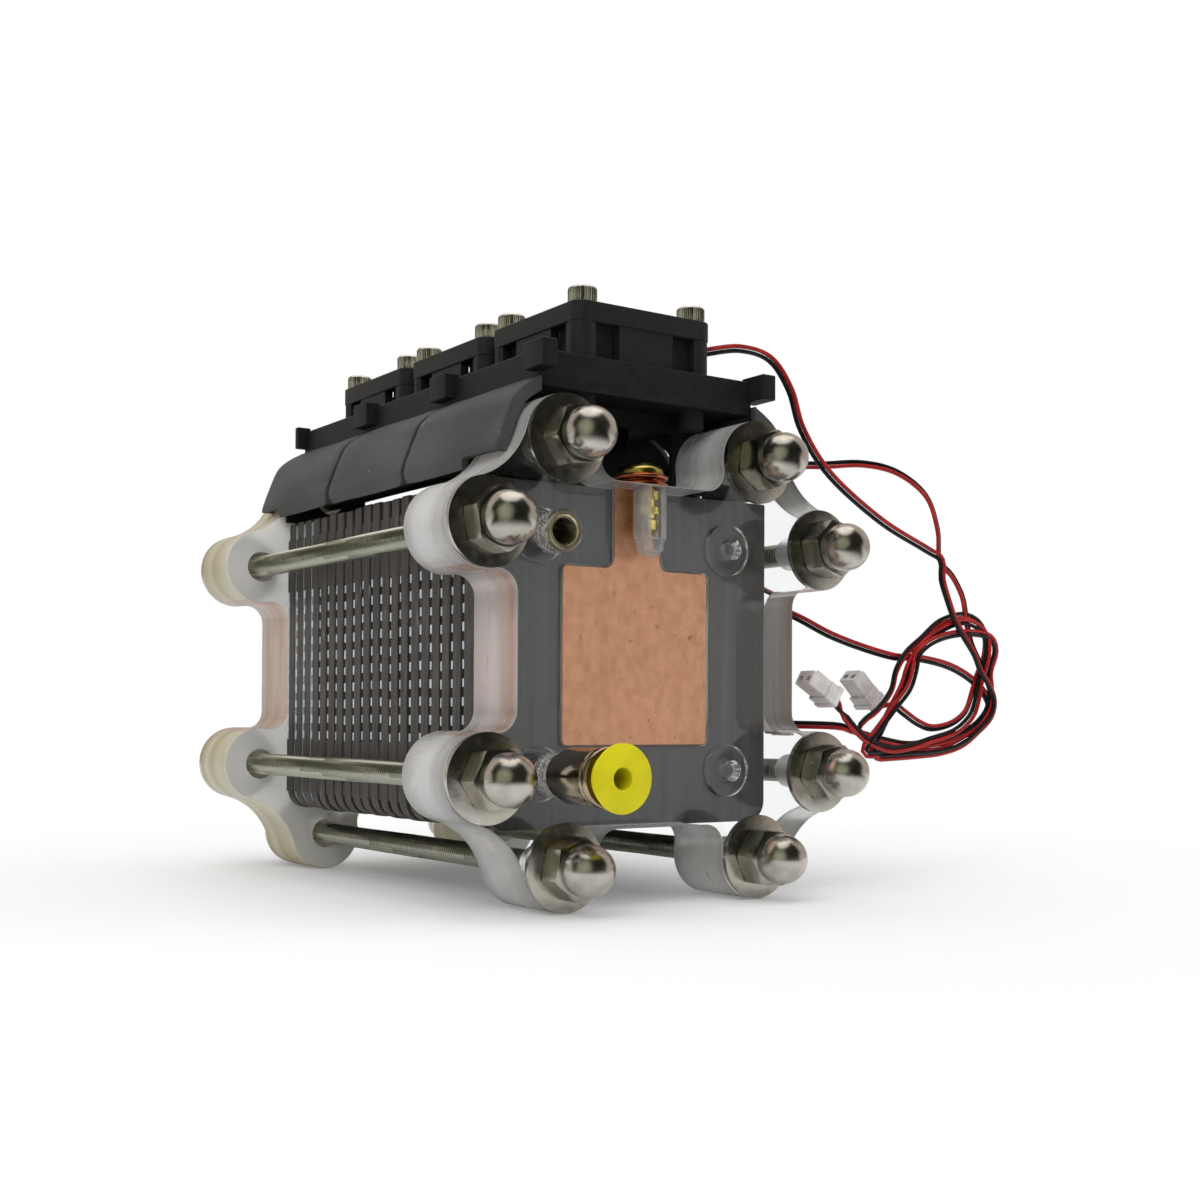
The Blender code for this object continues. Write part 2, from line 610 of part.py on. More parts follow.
def fan_frame_mesh():
    """The square fan frame with its bore, corner holes, side windows, struts and motor base."""
    frame = add_cutter("fan_blank",
                       outline_mesh("fan_blank", rounded_square(FAN_SIDE / 2, FAN_CORNER_R, 2), FAN_DEEP))
    long = FAN_DEEP + 2 * CUT_OVER
    bore = add_cutter("fan_bore", rods_mesh("fan_bore", [(FAN_BORE_R, long, (0, 0, 0))], 20))
    corners = [(FAN_HOLE_R, long, (sx * FAN_HOLE_HALF, sy * FAN_HOLE_HALF, 0)) for sx in (-1, 1) for sy in (-1, 1)]
    holes = add_cutter("fan_holes", rods_mesh("fan_holes", corners, 8))
    windows = add_cutter("fan_windows", boxes_mesh("fan_windows", fan_windows()))
    top = FAN_DEEP / 2
    low = top - FAN_BASE_THICK
    mid = (top + low) / 2
    base = add_cutter("fan_base", rods_mesh("fan_base", [(FAN_BASE_R, FAN_BASE_THICK, (0, 0, mid))], 16))
    reach, half = FAN_BORE_R + 0.0008, FAN_STRUT_WIDE / 2
    cross = [((-reach, -half, low + 0.0002), (reach, half, top - 0.0002))]
    strut_a = add_cutter("fan_strut_a", boxes_mesh("fan_strut_a", cross))
    strut_b = add_cutter("fan_strut_b", boxes_mesh("fan_strut_b", cross))
    strut_b.rotation_euler = (0.0, 0.0, math.radians(90))
    for cutter in (bore, holes, windows):
        combine(frame, cutter, "DIFFERENCE")
    for helper in (strut_a, strut_b, base):
        combine(frame, helper, "UNION")
    mesh = baked_mesh(frame, "fan_frame")
    for thing in (frame, bore, holes, windows, base, strut_a, strut_b):
        bpy.data.objects.remove(thing)
    return mesh


def blade_mesh():
    """A cambered blade that reaches out along local X, pitched about it."""
    mesh = bpy.data.meshes.new("blade")
    steps, inner = 4, HUB_R * 0.86
    points, faces = [], []
    for i in range(steps + 1):
        share = 2 * i / steps - 1
        run = BLADE_HALF_RUN * share + BLADE_CAMBER * (1 - share ** 2)
        rise = -BLADE_HALF_RISE * share + BLADE_CAMBER * (1 - share ** 2)
        points += [(inner, run, rise), (BLADE_TIP_R, run, rise)]
    for i in range(steps):
        faces.append((2 * i, 2 * i + 1, 2 * i + 3, 2 * i + 2))
    mesh.from_pydata(points, [], faces)
    guide = add_object("blade", mesh, CUTTERS)
    skin = guide.modifiers.new("thickness", "SOLIDIFY")
    skin.thickness = BLADE_THICK
    skin.offset = 0.0
    solid = baked_mesh(guide, "blade_solid")
    bpy.data.objects.remove(guide)
    return solid


def rotor_mesh():
    """The hub with its ring of blades, turning about local Z; its top face is at the origin."""
    hub = add_cutter("hub", rods_mesh("hub", [(HUB_R, HUB_DEEP, (0, 0, -HUB_DEEP / 2))], 16))
    blades = []
    solid = blade_mesh()
    for number in range(BLADE_COUNT):
        blade = add_cutter(f"blade_{number}", solid)
        blade.rotation_euler = (0.0, 0.0, 2 * math.pi * number / BLADE_COUNT)
        blade.location = (0.0, 0.0, -HUB_DEEP / 2)
        combine(hub, blade, "UNION")
        blades.append(blade)
    mesh = baked_mesh(hub, "fan_rotor")
    for thing in [hub] + blades:
        bpy.data.objects.remove(thing)
    return mesh


def make_fans():
    frame_mesh, spin_mesh = fan_frame_mesh(), rotor_mesh()
    frame_mesh.materials.append(FAN_BLACK)
    spin_mesh.materials.append(ROTOR_BLACK)
    for number, y in enumerate(fan_centres(), 1):
        frame = add_object(f"fan_frame_{number}", frame_mesh, PARTS)
        frame.location = (0.0, y, MIDDLE_Z + FAN_BASE_Z + FAN_DEEP / 2)
        rotor = add_object(f"fan_rotor_{number}", spin_mesh, PARTS)
        rotor.location = (0.0, y, MIDDLE_Z + FAN_TOP_Z - FAN_BASE_THICK - HUB_GAP)


def ear_boxes():
    """Clips on the tray's sides: between the fans, at the front corners and thin ones at the rear."""
    low, high = MIDDLE_Z + EAR_LOW_Z, MIDDLE_Z + EAR_HIGH_Z
    front = TRAY_FRONT_Y - END_EAR_FORWARD
    spans = [(front, front + EAR_LONG), (TRAY_REAR_Y - REAR_EAR_LONG, TRAY_REAR_Y)]
    for gap in range(FAN_COUNT - 1):
        mid = TRAY_MID_Y + (gap - (FAN_COUNT - 2) / 2) * FAN_PITCH
        spans.append((mid - EAR_LONG / 2, mid + EAR_LONG / 2))
    boxes = []
    for start, end in spans:
        for side in (-1, 1):
            across = sorted((side * (TRAY_HALF - TRAY_WALL), side * (TRAY_HALF + EAR_OUT)))
            boxes.append(((across[0], start, low), (across[1], end, high)))
    return boxes


def flap_curve(inset, steps, lip):
    """The flap's section from under the tray's edge, out and down; x is taken as positive."""
    points = []
    for i in range(steps + 1):
        angle = math.radians(90 * i / steps)
        points.append((TRAY_HALF + GAP + (FLAP_WIDE - inset) * math.sin(angle),
                       FLAP_BASE_Z + (FLAP_TALL - inset) * math.cos(angle)))
    if lip > 0:
        points.append((points[-1][0], FLAP_BASE_Z - lip))
    return points


def plenum_wall_mesh(name):
    """An end wall under the tray, between the flaps, with an open mouth over the cells."""
    inset = FLAP_THICK + 2 * GAP
    side = [(x - GAP, z) for x, z in flap_curve(inset, 5, 0.0)]
    side = [(min(x, TRAY_HALF + FLAP_WIDE - inset), z) for x, z in side if z < TRAY_BOTTOM_Z]
    foot = CELL_HALF + GAP
    mouth = [(PLENUM_MOUTH_HALF, foot), (PLENUM_MOUTH_HALF, TRAY_BOTTOM_Z - PLENUM_MOUTH_DROP)]
    right = [(TRAY_HALF, TRAY_BOTTOM_Z + TRAY_FLOOR / 2)] + side + [(side[-1][0], foot)] + mouth
    return outline_mesh(name, right + [(-x, z) for x, z in reversed(right)], PLENUM_WALL)


def screw_profile():
    """A fan screw in its boss under the tray's floor, from the head down."""
    head = FAN_TOP_Z + GAP
    return [(0.0, head + SCREW_HEAD_H), (SCREW_HEAD_R, head + SCREW_HEAD_H), (SCREW_HEAD_R, head),
            (SCREW_R, head), (SCREW_R, TRAY_BOTTOM_Z + TRAY_FLOOR / 2),
            (BOSS_R, TRAY_BOTTOM_Z + TRAY_FLOOR / 2), (BOSS_R, TRAY_BOTTOM_Z - BOSS_H),
            (0.0, TRAY_BOTTOM_Z - BOSS_H)]


def screws_mesh():
    """All the fan screws in one mesh of separate solids."""
    one = turned_mesh("fan_screw", screw_profile(), 8)
    shape = bmesh.new()
    for y in fan_centres():
        for sx in (-1, 1):
            for sy in (-1, 1):
                place = Matrix.Translation((sx * FAN_HOLE_HALF, y + sy * FAN_HOLE_HALF, MIDDLE_Z))
                copy = one.copy()
                copy.transform(place)
                shape.from_mesh(copy)
                bpy.data.meshes.remove(copy)
    mesh = bpy.data.meshes.new("fan_screws")
    shape.to_mesh(mesh)
    shape.free()
    return mesh


def make_shroud():
    """The tray that holds the fans, with its clips, end walls and the fan screws."""
    bottom, top = MIDDLE_Z + TRAY_BOTTOM_Z, MIDDLE_Z + TRAY_TOP_Z
    body = [((-TRAY_HALF, TRAY_FRONT_Y, bottom), (TRAY_HALF, TRAY_REAR_Y, top))]
    tray = add_object("shroud", boxes_mesh("shroud", body), PARTS)
    tray.data.materials.append(SHROUD_BLACK)
    half = FAN_SIDE / 2 + GAP
    floor = MIDDLE_Z + TRAY_FLOOR_Z
    pockets = [((-half, y - half, floor), (half, y + half, top + CUT_OVER)) for y in fan_centres()]
    combine(tray, add_cutter("tray_pockets", boxes_mesh("tray_pockets", pockets)), "DIFFERENCE")
    holes = [(TRAY_OPEN_R, TRAY_FLOOR + 2 * CUT_OVER, (0.0, y, floor - TRAY_FLOOR / 2)) for y in fan_centres()]
    combine(tray, add_cutter("tray_openings", rods_mesh("tray_openings", holes, 20)), "DIFFERENCE")
    combine(tray, add_cutter("tray_ears", boxes_mesh("tray_ears", ear_boxes())), "UNION")
    wall_ys = (INNER_Y + GAP + PLENUM_WALL / 2, REAR_INNER_Y - GAP - PLENUM_WALL / 2)
    shelf = TRAY_FLOOR / 5
    for end, wall_y in zip(("front", "rear"), wall_ys):
        wall = add_cutter(f"plenum_wall_{end}", plenum_wall_mesh(f"plenum_wall_{end}"))
        stand_upright(wall, wall_y, z=MIDDLE_Z)
        combine(tray, wall, "UNION")
    along_y = Matrix.Rotation(math.radians(90), 4, "X")
    passes = [(ROD_HOLE_R, PLENUM_WALL + 2 * CUT_OVER, (x, y, MIDDLE_Z + z))
              for y in wall_ys for x, z in rod_places()[:2]]
    combine(tray, add_cutter("wall_rod_holes", rods_mesh("wall_rod_holes", passes, 10, along_y)), "DIFFERENCE")
    near = (wall_ys[0] + PLENUM_WALL / 4, wall_ys[1] - PLENUM_WALL / 4)
    wide = TRAY_OPEN_R + TRAY_WALL
    shelves = [((-wide, TRAY_FRONT_Y + TRAY_WALL / 2, bottom + shelf), (wide, near[0], floor - shelf)),
               ((-wide, near[1], bottom + shelf), (wide, TRAY_REAR_Y - TRAY_WALL / 2, floor - shelf))]
    combine(tray, add_cutter("tray_shelves", boxes_mesh("tray_shelves", shelves)), "UNION")
    combine(tray, add_cutter("fan_screws", screws_mesh()), "UNION")


def flap_strip(name, side, start, end):
    """A curved flap between two places along Y, on the left (-1) or right (+1)."""
    curve = bpy.data.curves.new(name, "CURVE")
    curve.dimensions = "2D"
    curve.extrude = (end - start) / 2
    line = curve.splines.new("POLY")
    points = flap_curve(0.0, 7, FLAP_LIP)
    line.points.add(len(points) - 1)
    for spot, (x, z) in zip(line.points, points):
        spot.co = (side * x, z, 0.0, 1.0)
    guide = add_object(name + "_guide", curve, CUTTERS)
    flap = add_object(name, baked_mesh(guide, name), PARTS)
    bpy.data.objects.remove(guide)
    flap.data.materials.append(FLAP_GREY)
    stand_upright(flap, (start + end) / 2, z=MIDDLE_Z)
    skin = flap.modifiers.new("thickness", "SOLIDIFY")
    skin.thickness = FLAP_THICK
    skin.offset = -1.0 if side > 0 else 1.0
    return flap


def make_flaps():
    """Three flaps on each side, cut away low down where they pass an end plate."""
    first, last = TRAY_MID_Y - FLAP_OVERHANG, TRAY_MID_Y + FLAP_OVERHANG
    seams = [TRAY_MID_Y + (gap - (FAN_COUNT - 2) / 2) * FAN_PITCH for gap in range(FAN_COUNT - 1)]
    starts = [first] + [y + FLAP_SEAM / 2 for y in seams]
    ends = [y - FLAP_SEAM / 2 for y in seams] + [last]
    wide = TRAY_HALF + FLAP_WIDE + CUT_OVER
    low, high = MIDDLE_Z + FLAP_BASE_Z - FLAP_LIP - CUT_OVER, MIDDLE_Z + FLAP_NOTCH_Z
    notches = [((-wide, first - CUT_OVER, low), (wide, INNER_Y + GAP, high)),
               ((-wide, REAR_INNER_Y - GAP, low), (wide, last + CUT_OVER, high))]
    cutter = add_cutter("flap_notches", boxes_mesh("flap_notches", notches))
    for side, word in ((-1, "left"), (1, "right")):
        for number, (start, end) in enumerate(zip(starts, ends), 1):
            flap = flap_strip(f"flap_{word}_{number}", side, start, end)
            if number in (1, len(starts)):
                combine(flap, cutter, "DIFFERENCE")


# Routes of the leads, as x, y from the front plate's outer face, and z from the stack's middle.
LEAD_START_Z = 0.0762
LEAD_ROUTES = [
    [(0.0310, 0.0100, 0.0785), (0.0410, 0.0100, 0.0772), (0.0477, 0.0100, 0.0702), (0.0520, 0.0100, 0.0602),
     (0.0617, 0.0100, 0.0496), (0.0798, 0.0100, 0.0391), (0.0965, 0.0100, 0.0300), (0.1025, 0.0100, 0.0230)],
    [(0.0280, 0.0532, 0.0772), (0.0380, 0.0490, 0.0716), (0.0480, 0.0390, 0.0622), (0.0560, 0.0270, 0.0548),
     (0.0650, 0.0190, 0.0536), (0.0770, 0.0140, 0.0545), (0.0880, 0.0115, 0.0528), (0.0975, 0.0100, 0.0470),
     (0.1035, 0.0100, 0.0360), (0.1095, 0.0100, 0.0255)],
    [(0.0300, 0.0965, 0.0772), (0.0420, 0.0935, 0.0706), (0.0505, 0.0880, 0.0590), (0.0550, 0.0760, 0.0450),
     (0.0575, 0.0600, 0.0320), (0.0585, 0.0450, 0.0225), (0.0587, 0.0300, 0.0165), (0.0610, 0.0205, 0.0122),
     (0.0680, 0.0180, 0.0082), (0.0780, 0.0170, 0.0050), (0.0870, 0.0168, 0.0033), (0.0960, 0.0168, 0.0028),
     (0.1050, 0.0168, 0.0022), (0.1120, 0.0168, 0.0002)],
]
# Middle line of the coil of leads, as x and z in the plane at COIL_Y.
COIL_Y = 0.0100
COIL_LINE = [(0.0745, -0.0178), (0.0818, -0.0086), (0.0886, 0.0023), (0.0995, 0.0084), (0.1110, 0.0131),
             (0.1202, 0.0106), (0.1222, 0.0044), (0.1196, -0.0024), (0.1222, -0.0082), (0.1188, -0.0144),
             (0.1110, -0.0190), (0.0995, -0.0224), (0.0886, -0.0232), (0.0792, -0.0233)]


def smooth_line(points, spacing, cyclic=False):
    """Points at about even spacing on a smooth curve through the given points."""
    spots = [Vector(p) for p in points]
    count = len(spots)
    result = []
    for i in range(count if cyclic else count - 1):
        if cyclic:
            a, b, c, d = (spots[(i + k) % count] for k in (-1, 0, 1, 2))
        else:
            a, b, c, d = (spots[min(max(i + k, 0), count - 1)] for k in (-1, 0, 1, 2))
        steps = max(1, round((c - b).length / spacing))
        for k in range(steps):
            t = k / steps
            result.append(0.5 * (2 * b + (c - a) * t + (2 * a - 5 * b + 4 * c - d) * t * t
                                 + (3 * b - a - 3 * c + d) * t ** 3))
    if not cyclic:
        result.append(spots[-1])
    return result


def make_tube(name, points, radius, material, cyclic=False):
    curve = bpy.data.curves.new(name, "CURVE")
    curve.dimensions = "3D"
    curve.bevel_depth = radius
    curve.bevel_resolution = 2
    curve.use_fill_caps = not cyclic
    line = curve.splines.new("POLY")
    line.points.add(len(points) - 1)
    for spot, point in zip(line.points, points):
        spot.co = (*point, 1.0)
    line.use_cyclic_u = cyclic
    curve.materials.append(material)
    return add_object(name, curve, PARTS)


def placed(point):
    """A route point in the part's own frame."""
    return Vector((point[0], FRONT_Y + point[1], MIDDLE_Z + point[2]))


def coil_points():
    return smooth_line([placed((x, COIL_Y, z)) for x, z in COIL_LINE], 0.0070, cyclic=True)


def stop_at_coil(start, towards):
    """The last point of a lead that runs from start and stops just clear of the coil's side."""
    aim = (towards - start).normalized()
    side = aim.cross(Vector((0.0, 1.0, 0.0))).normalized()
    line = smooth_line([placed((x, COIL_Y, z)) for x, z in COIL_LINE], 0.0005, cyclic=True)
    back = COIL_R + GAP
    clear = False
    while not clear:
        back += 0.0001
        end = towards - aim * back
        rim = [end, end + side * LEAD_R, end - side * LEAD_R]
        clear = all((spot - near).length > COIL_R + GAP for spot in rim for near in line)
    return end


def make_coil():
    make_tube("lead_coil", coil_points(), COIL_R, WIRE_RED, cyclic=True)


def make_leads():
    """A twin lead from the side of each fan to the coil."""
    ends = (3, 4, 8)
    for number, (y, route, end) in enumerate(zip(fan_centres(), LEAD_ROUTES, ends), 1):
        exit_y = y - FAN_SIDE / 2 + 0.0035
        start = Vector((FAN_SIDE / 2 + GAP, exit_y, MIDDLE_Z + LEAD_START_Z))
        points = [start] + [placed(p) for p in route]
        x, z = COIL_LINE[end]
        points.append(stop_at_coil(points[-1], placed((x, COIL_Y, z))))
        make_tube(f"lead_{number}", smooth_line(points, 0.0060), LEAD_R, WIRE_BLACK)


# Plugs on the lead ends: middle, direction of the mouth, and the route of the tail to the coil.
PLUG_PLACES = [
    ((0.0573, 0.0100, -0.0062), (-0.86, 0.0, 0.51), [(0.0650, 0.0100, -0.0112), (0.0680, 0.0100, -0.0158)], 0),
    ((0.0810, 0.0190, -0.0060), (-0.72, 0.0, 0.69), [(0.0880, 0.0190, -0.0098), (0.0960, 0.0190, -0.0135),
                                                      (0.1040, 0.0175, -0.0168)], 10),
    ((0.0500, 0.0290, -0.0158), (-1.0, 0.0, 0.05), [(0.0590, 0.0265, -0.0160), (0.0660, 0.0200, -0.0168)], 0),
]


def plug_mesh():
    """A two-way plug with a rim at its lead end; its mouth points along local Z."""
    wide, deep, long = PLUG_WIDE / 2, PLUG_DEEP / 2, PLUG_LONG / 2
    body = add_cutter("plug_body", boxes_mesh("plug_body", [((-wide + PLUG_RIM, -deep + PLUG_RIM, -long),
                                                             (wide - PLUG_RIM, deep - PLUG_RIM, long))]))
    rim = add_cutter("plug_rim", boxes_mesh("plug_rim", [((-wide, -deep, -long - PLUG_RIM),
                                                          (wide, deep, -long + PLUG_RIM))]))
    ways = [((sx * wide / 2.4 - 0.0009, deep - 2.2 * PLUG_RIM, long - 0.0050),
             (sx * wide / 2.4 + 0.0009, deep + CUT_OVER, long - 0.0012)) for sx in (-1, 1)]
    slots = add_cutter("plug_slots", boxes_mesh("plug_slots", ways))
    combine(body, rim, "UNION")
    combine(body, slots, "DIFFERENCE")
    mesh = baked_mesh(body, "plug")
    for thing in (body, rim, slots):
        bpy.data.objects.remove(thing)
    return mesh


def make_plugs():
    """A plug and its short tail for each lead."""
    mesh = plug_mesh()
    mesh.materials.append(PLUG_WHITE)
    for number, (middle, mouth, route, end) in enumerate(PLUG_PLACES, 1):
        aim = Vector(mouth).normalized()
        plug = add_object(f"plug_{number}", mesh, PARTS)
        plug.rotation_euler = aim.to_track_quat("Z", "Y").to_euler()
        plug.location = placed(middle)
        start = placed(middle) - aim * (PLUG_LONG / 2 + PLUG_RIM + GAP)
        points = [start, start - aim * 0.0020] + [placed(p) for p in route]
        x, z = COIL_LINE[end]
        points.append(stop_at_coil(points[-1], placed((x, COIL_Y, z))))
        make_tube(f"tail_{number}", smooth_line(points, 0.0030), LEAD_R, WIRE_BLACK)


start_clean()
PARTS = make_collection("fuel_cell_stack")
CUTTERS = make_collection("cutters")
CLEAR = make_material("clear_acrylic", (0.80, 0.82, 0.82), 0.15, alpha=0.35)
STEEL = make_material("polished_steel", (0.60, 0.58, 0.54), 0.18, 1.0)
GRAPHITE = make_material("graphite", (0.060, 0.055, 0.052), 0.55, 0.2)
COPPER = make_material("brushed_copper", (0.72, 0.38, 0.22), 0.35, 1.0)
BRASS = make_material("brass", (0.60, 0.46, 0.20), 0.30, 1.0)
NICKEL = make_material("nickel_plate", (0.45, 0.41, 0.36), 0.25, 1.0)
YELLOW = make_material("yellow_plastic", (0.72, 0.66, 0.02), 0.40)
FAN_BLACK = make_material("fan_plastic", (0.022, 0.022, 0.024), 0.50)
ROTOR_BLACK = make_material("rotor_plastic", (0.015, 0.015, 0.016), 0.45)
SHROUD_BLACK = make_material("shroud_plastic", (0.014, 0.014, 0.015), 0.55)
FLAP_GREY = make_material("flap_plastic", (0.065, 0.065, 0.067), 0.60)
WIRE_RED = make_material("red_wire", (0.30, 0.01, 0.01), 0.40)
WIRE_BLACK = make_material("black_wire", (0.012, 0.012, 0.014), 0.40)
PLUG_WHITE = make_material("plug_nylon", (0.70, 0.68, 0.66), 0.45)

make_plate("end_plate_front", FRONT_Y, INNER_Y, True)
make_plate("end_plate_rear", REAR_Y, REAR_INNER_Y, False)
make_tie_rods()
make_cells()
make_collector("collector_front", FRONT_Y, INNER_Y)
make_collector("collector_rear", REAR_Y, REAR_INNER_Y)
make_terminal("terminal_front", FRONT_Y, INNER_Y)
make_terminal("terminal_rear", REAR_Y, REAR_INNER_Y)
make_outlet()
make_collet(make_inlet())
make_fans()
make_shroud()
make_flaps()
make_coil()
make_leads()
make_plugs()
for part in PARTS.objects:
    if part.type == "MESH":
        part.data.shade_smooth()
        part.data.set_sharp_from_angle(angle=math.radians(35))
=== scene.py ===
"""Looks of an open-cathode fuel cell stack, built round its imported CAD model."""
import math
import random

import bmesh
import bpy
from mathutils import Matrix, Vector


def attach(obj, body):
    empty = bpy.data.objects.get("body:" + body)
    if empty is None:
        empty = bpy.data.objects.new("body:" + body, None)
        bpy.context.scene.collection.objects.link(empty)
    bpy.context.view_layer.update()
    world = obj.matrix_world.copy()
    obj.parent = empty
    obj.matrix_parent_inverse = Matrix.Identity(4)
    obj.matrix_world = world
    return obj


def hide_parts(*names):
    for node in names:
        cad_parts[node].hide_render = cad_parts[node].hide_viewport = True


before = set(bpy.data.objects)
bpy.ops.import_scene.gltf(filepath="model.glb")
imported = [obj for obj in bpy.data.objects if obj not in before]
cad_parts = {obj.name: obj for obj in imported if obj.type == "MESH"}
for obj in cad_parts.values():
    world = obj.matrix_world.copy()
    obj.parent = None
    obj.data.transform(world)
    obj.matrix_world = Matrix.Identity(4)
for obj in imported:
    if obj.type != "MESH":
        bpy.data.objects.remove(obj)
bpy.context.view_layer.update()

# Sizes and places of the solids, in metres, in the part's own frame.
GAP = 0.0003                     # clearance between pieces that touch
MIDDLE_Z = 0.058173              # the stack's axis above the floor
CELL_COUNT = 20
CELL_THICK = 0.0050
CELL_HALF = 0.0404               # half width and half height
CELL_CORNER_R = 0.0050           # lower corners
CELL_TOP_R = 0.0005              # upper corners, nearly square
PLATE_THICK = 0.0192
PLATE_WAIST = 0.0400             # half width between the lobes
LOBE_R = 0.010173
WAIST_FILLET = 0.0050
CORNER_HOLLOW = 0.0180
ROD_FAR, ROD_NEAR = 0.0480, 0.0278   # a rod's distances from the stack's middle
ROD_HOLE_R = 0.0042
ROD_R = 0.0030
WASHER_R = 0.0101
WASHER_THICK = 0.0016
NUT_FLATS = 0.0128               # across flats
NUT_HEX_H = 0.0064
DOME_R = 0.0059
DOME_RISE = 0.0023               # straight part between the hexagon and the dome
COLLECTOR_THICK = 0.0012
COLLECTOR_HALF = 0.0210
COLLECTOR_NECK = 0.0066          # half width
TERMINAL_FROM_FACE = 0.0095
PORT_OFFSET = 0.0275
FAN_SIDE = 0.0400
FAN_DEEP = 0.0200
FAN_PITCH = 0.0436
FAN_HOLE_HALF = 0.0160           # half the screw pitch
TRAY_HALF = 0.0310
TRAY_FLOOR = 0.0015
TRAY_WALL = 0.0012
TRAY_SHIFT = -0.0018             # tray's middle from the stack's middle
FLAP_THICK = 0.0017
FLAP_SEAM = 0.0012
FLAP_OVERHANG = 0.0665           # flaps' ends from the tray's middle
MOUTH_HALF = 0.0170              # mouth in the end walls under the tray
MOUTH_DROP = 0.0040
OVER = 0.002                     # how far a cutter runs past the face it cuts

FRONT_Y = -0.0691
INNER_Y = FRONT_Y + PLATE_THICK
REAR_INNER_Y = INNER_Y + GAP + CELL_COUNT * (CELL_THICK + GAP)
REAR_Y = REAR_INNER_Y + PLATE_THICK
STACK_MID_Y = (FRONT_Y + REAR_Y) / 2
TRAY_MID_Y = STACK_MID_Y + TRAY_SHIFT
TRAY_LONG = 2 * FAN_PITCH + FAN_SIDE + 2 * (GAP + TRAY_WALL)
TRAY_BOTTOM_Z = MIDDLE_Z + 0.0608
TRAY_TOP_Z = TRAY_BOTTOM_Z + 0.0084
FAN_BASE_Z = TRAY_BOTTOM_Z + TRAY_FLOOR + GAP
FAN_TOP_Z = FAN_BASE_Z + FAN_DEEP
FAN_YS = tuple(TRAY_MID_Y + k * FAN_PITCH for k in (-1, 0, 1))
SEAM_YS = tuple(TRAY_MID_Y + k * FAN_PITCH for k in (-0.5, 0.5))
FLAP_NOTCH_Z = MIDDLE_Z + PLATE_WAIST + 0.0046

SIDES = (-1, 1)
CORNERS = [(sx, sy) for sx in SIDES for sy in SIDES]
UNIT = Matrix.Identity(4)
# Local x and y to the part's x and z, and local z to its y.
UPRIGHT = Matrix(((1, 0, 0, 0), (0, 0, 1, 0), (0, 1, 0, MIDDLE_Z), (0, 0, 0, 1)))


# Materials. Colours are screen colours of 0 to 255.

def tone(red, green, blue):
    """A linear colour from a screen colour."""
    linear = []
    for value in (red / 255, green / 255, blue / 255):
        linear.append(value / 12.92 if value <= 0.04045 else ((value + 0.055) / 1.055) ** 2.4)
    return tuple(linear)


def new_material(name):
    made = bpy.data.materials.new(name)
    made.use_nodes = True
    return made, made.node_tree


def link(tree, output, target):
    tree.links.new(output, target)


def object_vector(tree, stretch=(1, 1, 1)):
    """Object coordinates, scaled along each axis."""
    place = tree.nodes.new("ShaderNodeTexCoord")
    scale = tree.nodes.new("ShaderNodeMapping")
    scale.inputs["Scale"].default_value = stretch
    link(tree, place.outputs["Object"], scale.inputs["Vector"])
    return scale.outputs["Vector"]


def noise_value(tree, scale, stretch, detail=3.0, distortion=0.0):
    noise = tree.nodes.new("ShaderNodeTexNoise")
    for key, number in (("Scale", scale), ("Detail", detail), ("Distortion", distortion)):
        noise.inputs[key].default_value = number
    link(tree, object_vector(tree, stretch), noise.inputs["Vector"])
    return noise.outputs["Fac"]


def between(tree, value, low, high, to_low, to_high):
    """A value mapped from one range to another."""
    step = tree.nodes.new("ShaderNodeMapRange")
    for key, number in (("From Min", low), ("From Max", high), ("To Min", to_low), ("To Max", to_high)):
        step.inputs[key].default_value = number
    link(tree, value, step.inputs["Value"])
    return step.outputs["Result"]


def figure(tree, operation, first, second):
    step = tree.nodes.new("ShaderNodeMath")
    step.operation = operation
    step.use_clamp = True
    link(tree, first, step.inputs[0])
    link(tree, second, step.inputs[1])
    return step.outputs[0]


def two_colours(tree, value, first, second):
    """A mix node between two linear colours."""
    mix = tree.nodes.new("ShaderNodeMix")
    mix.data_type = "RGBA"
    mix.inputs["A"].default_value = (*first, 1)
    mix.inputs["B"].default_value = (*second, 1)
    link(tree, value, mix.inputs["Factor"])
    return mix


def mixed_surface(tree, share, first, second):
    """The material's output: a mix of two shaders' outputs."""
    mix = tree.nodes.new("ShaderNodeMixShader")
    link(tree, share, mix.inputs["Fac"])
    link(tree, first, mix.inputs[1])
    link(tree, second, mix.inputs[2])
    link(tree, mix.outputs["Shader"], tree.nodes["Material Output"].inputs["Surface"])


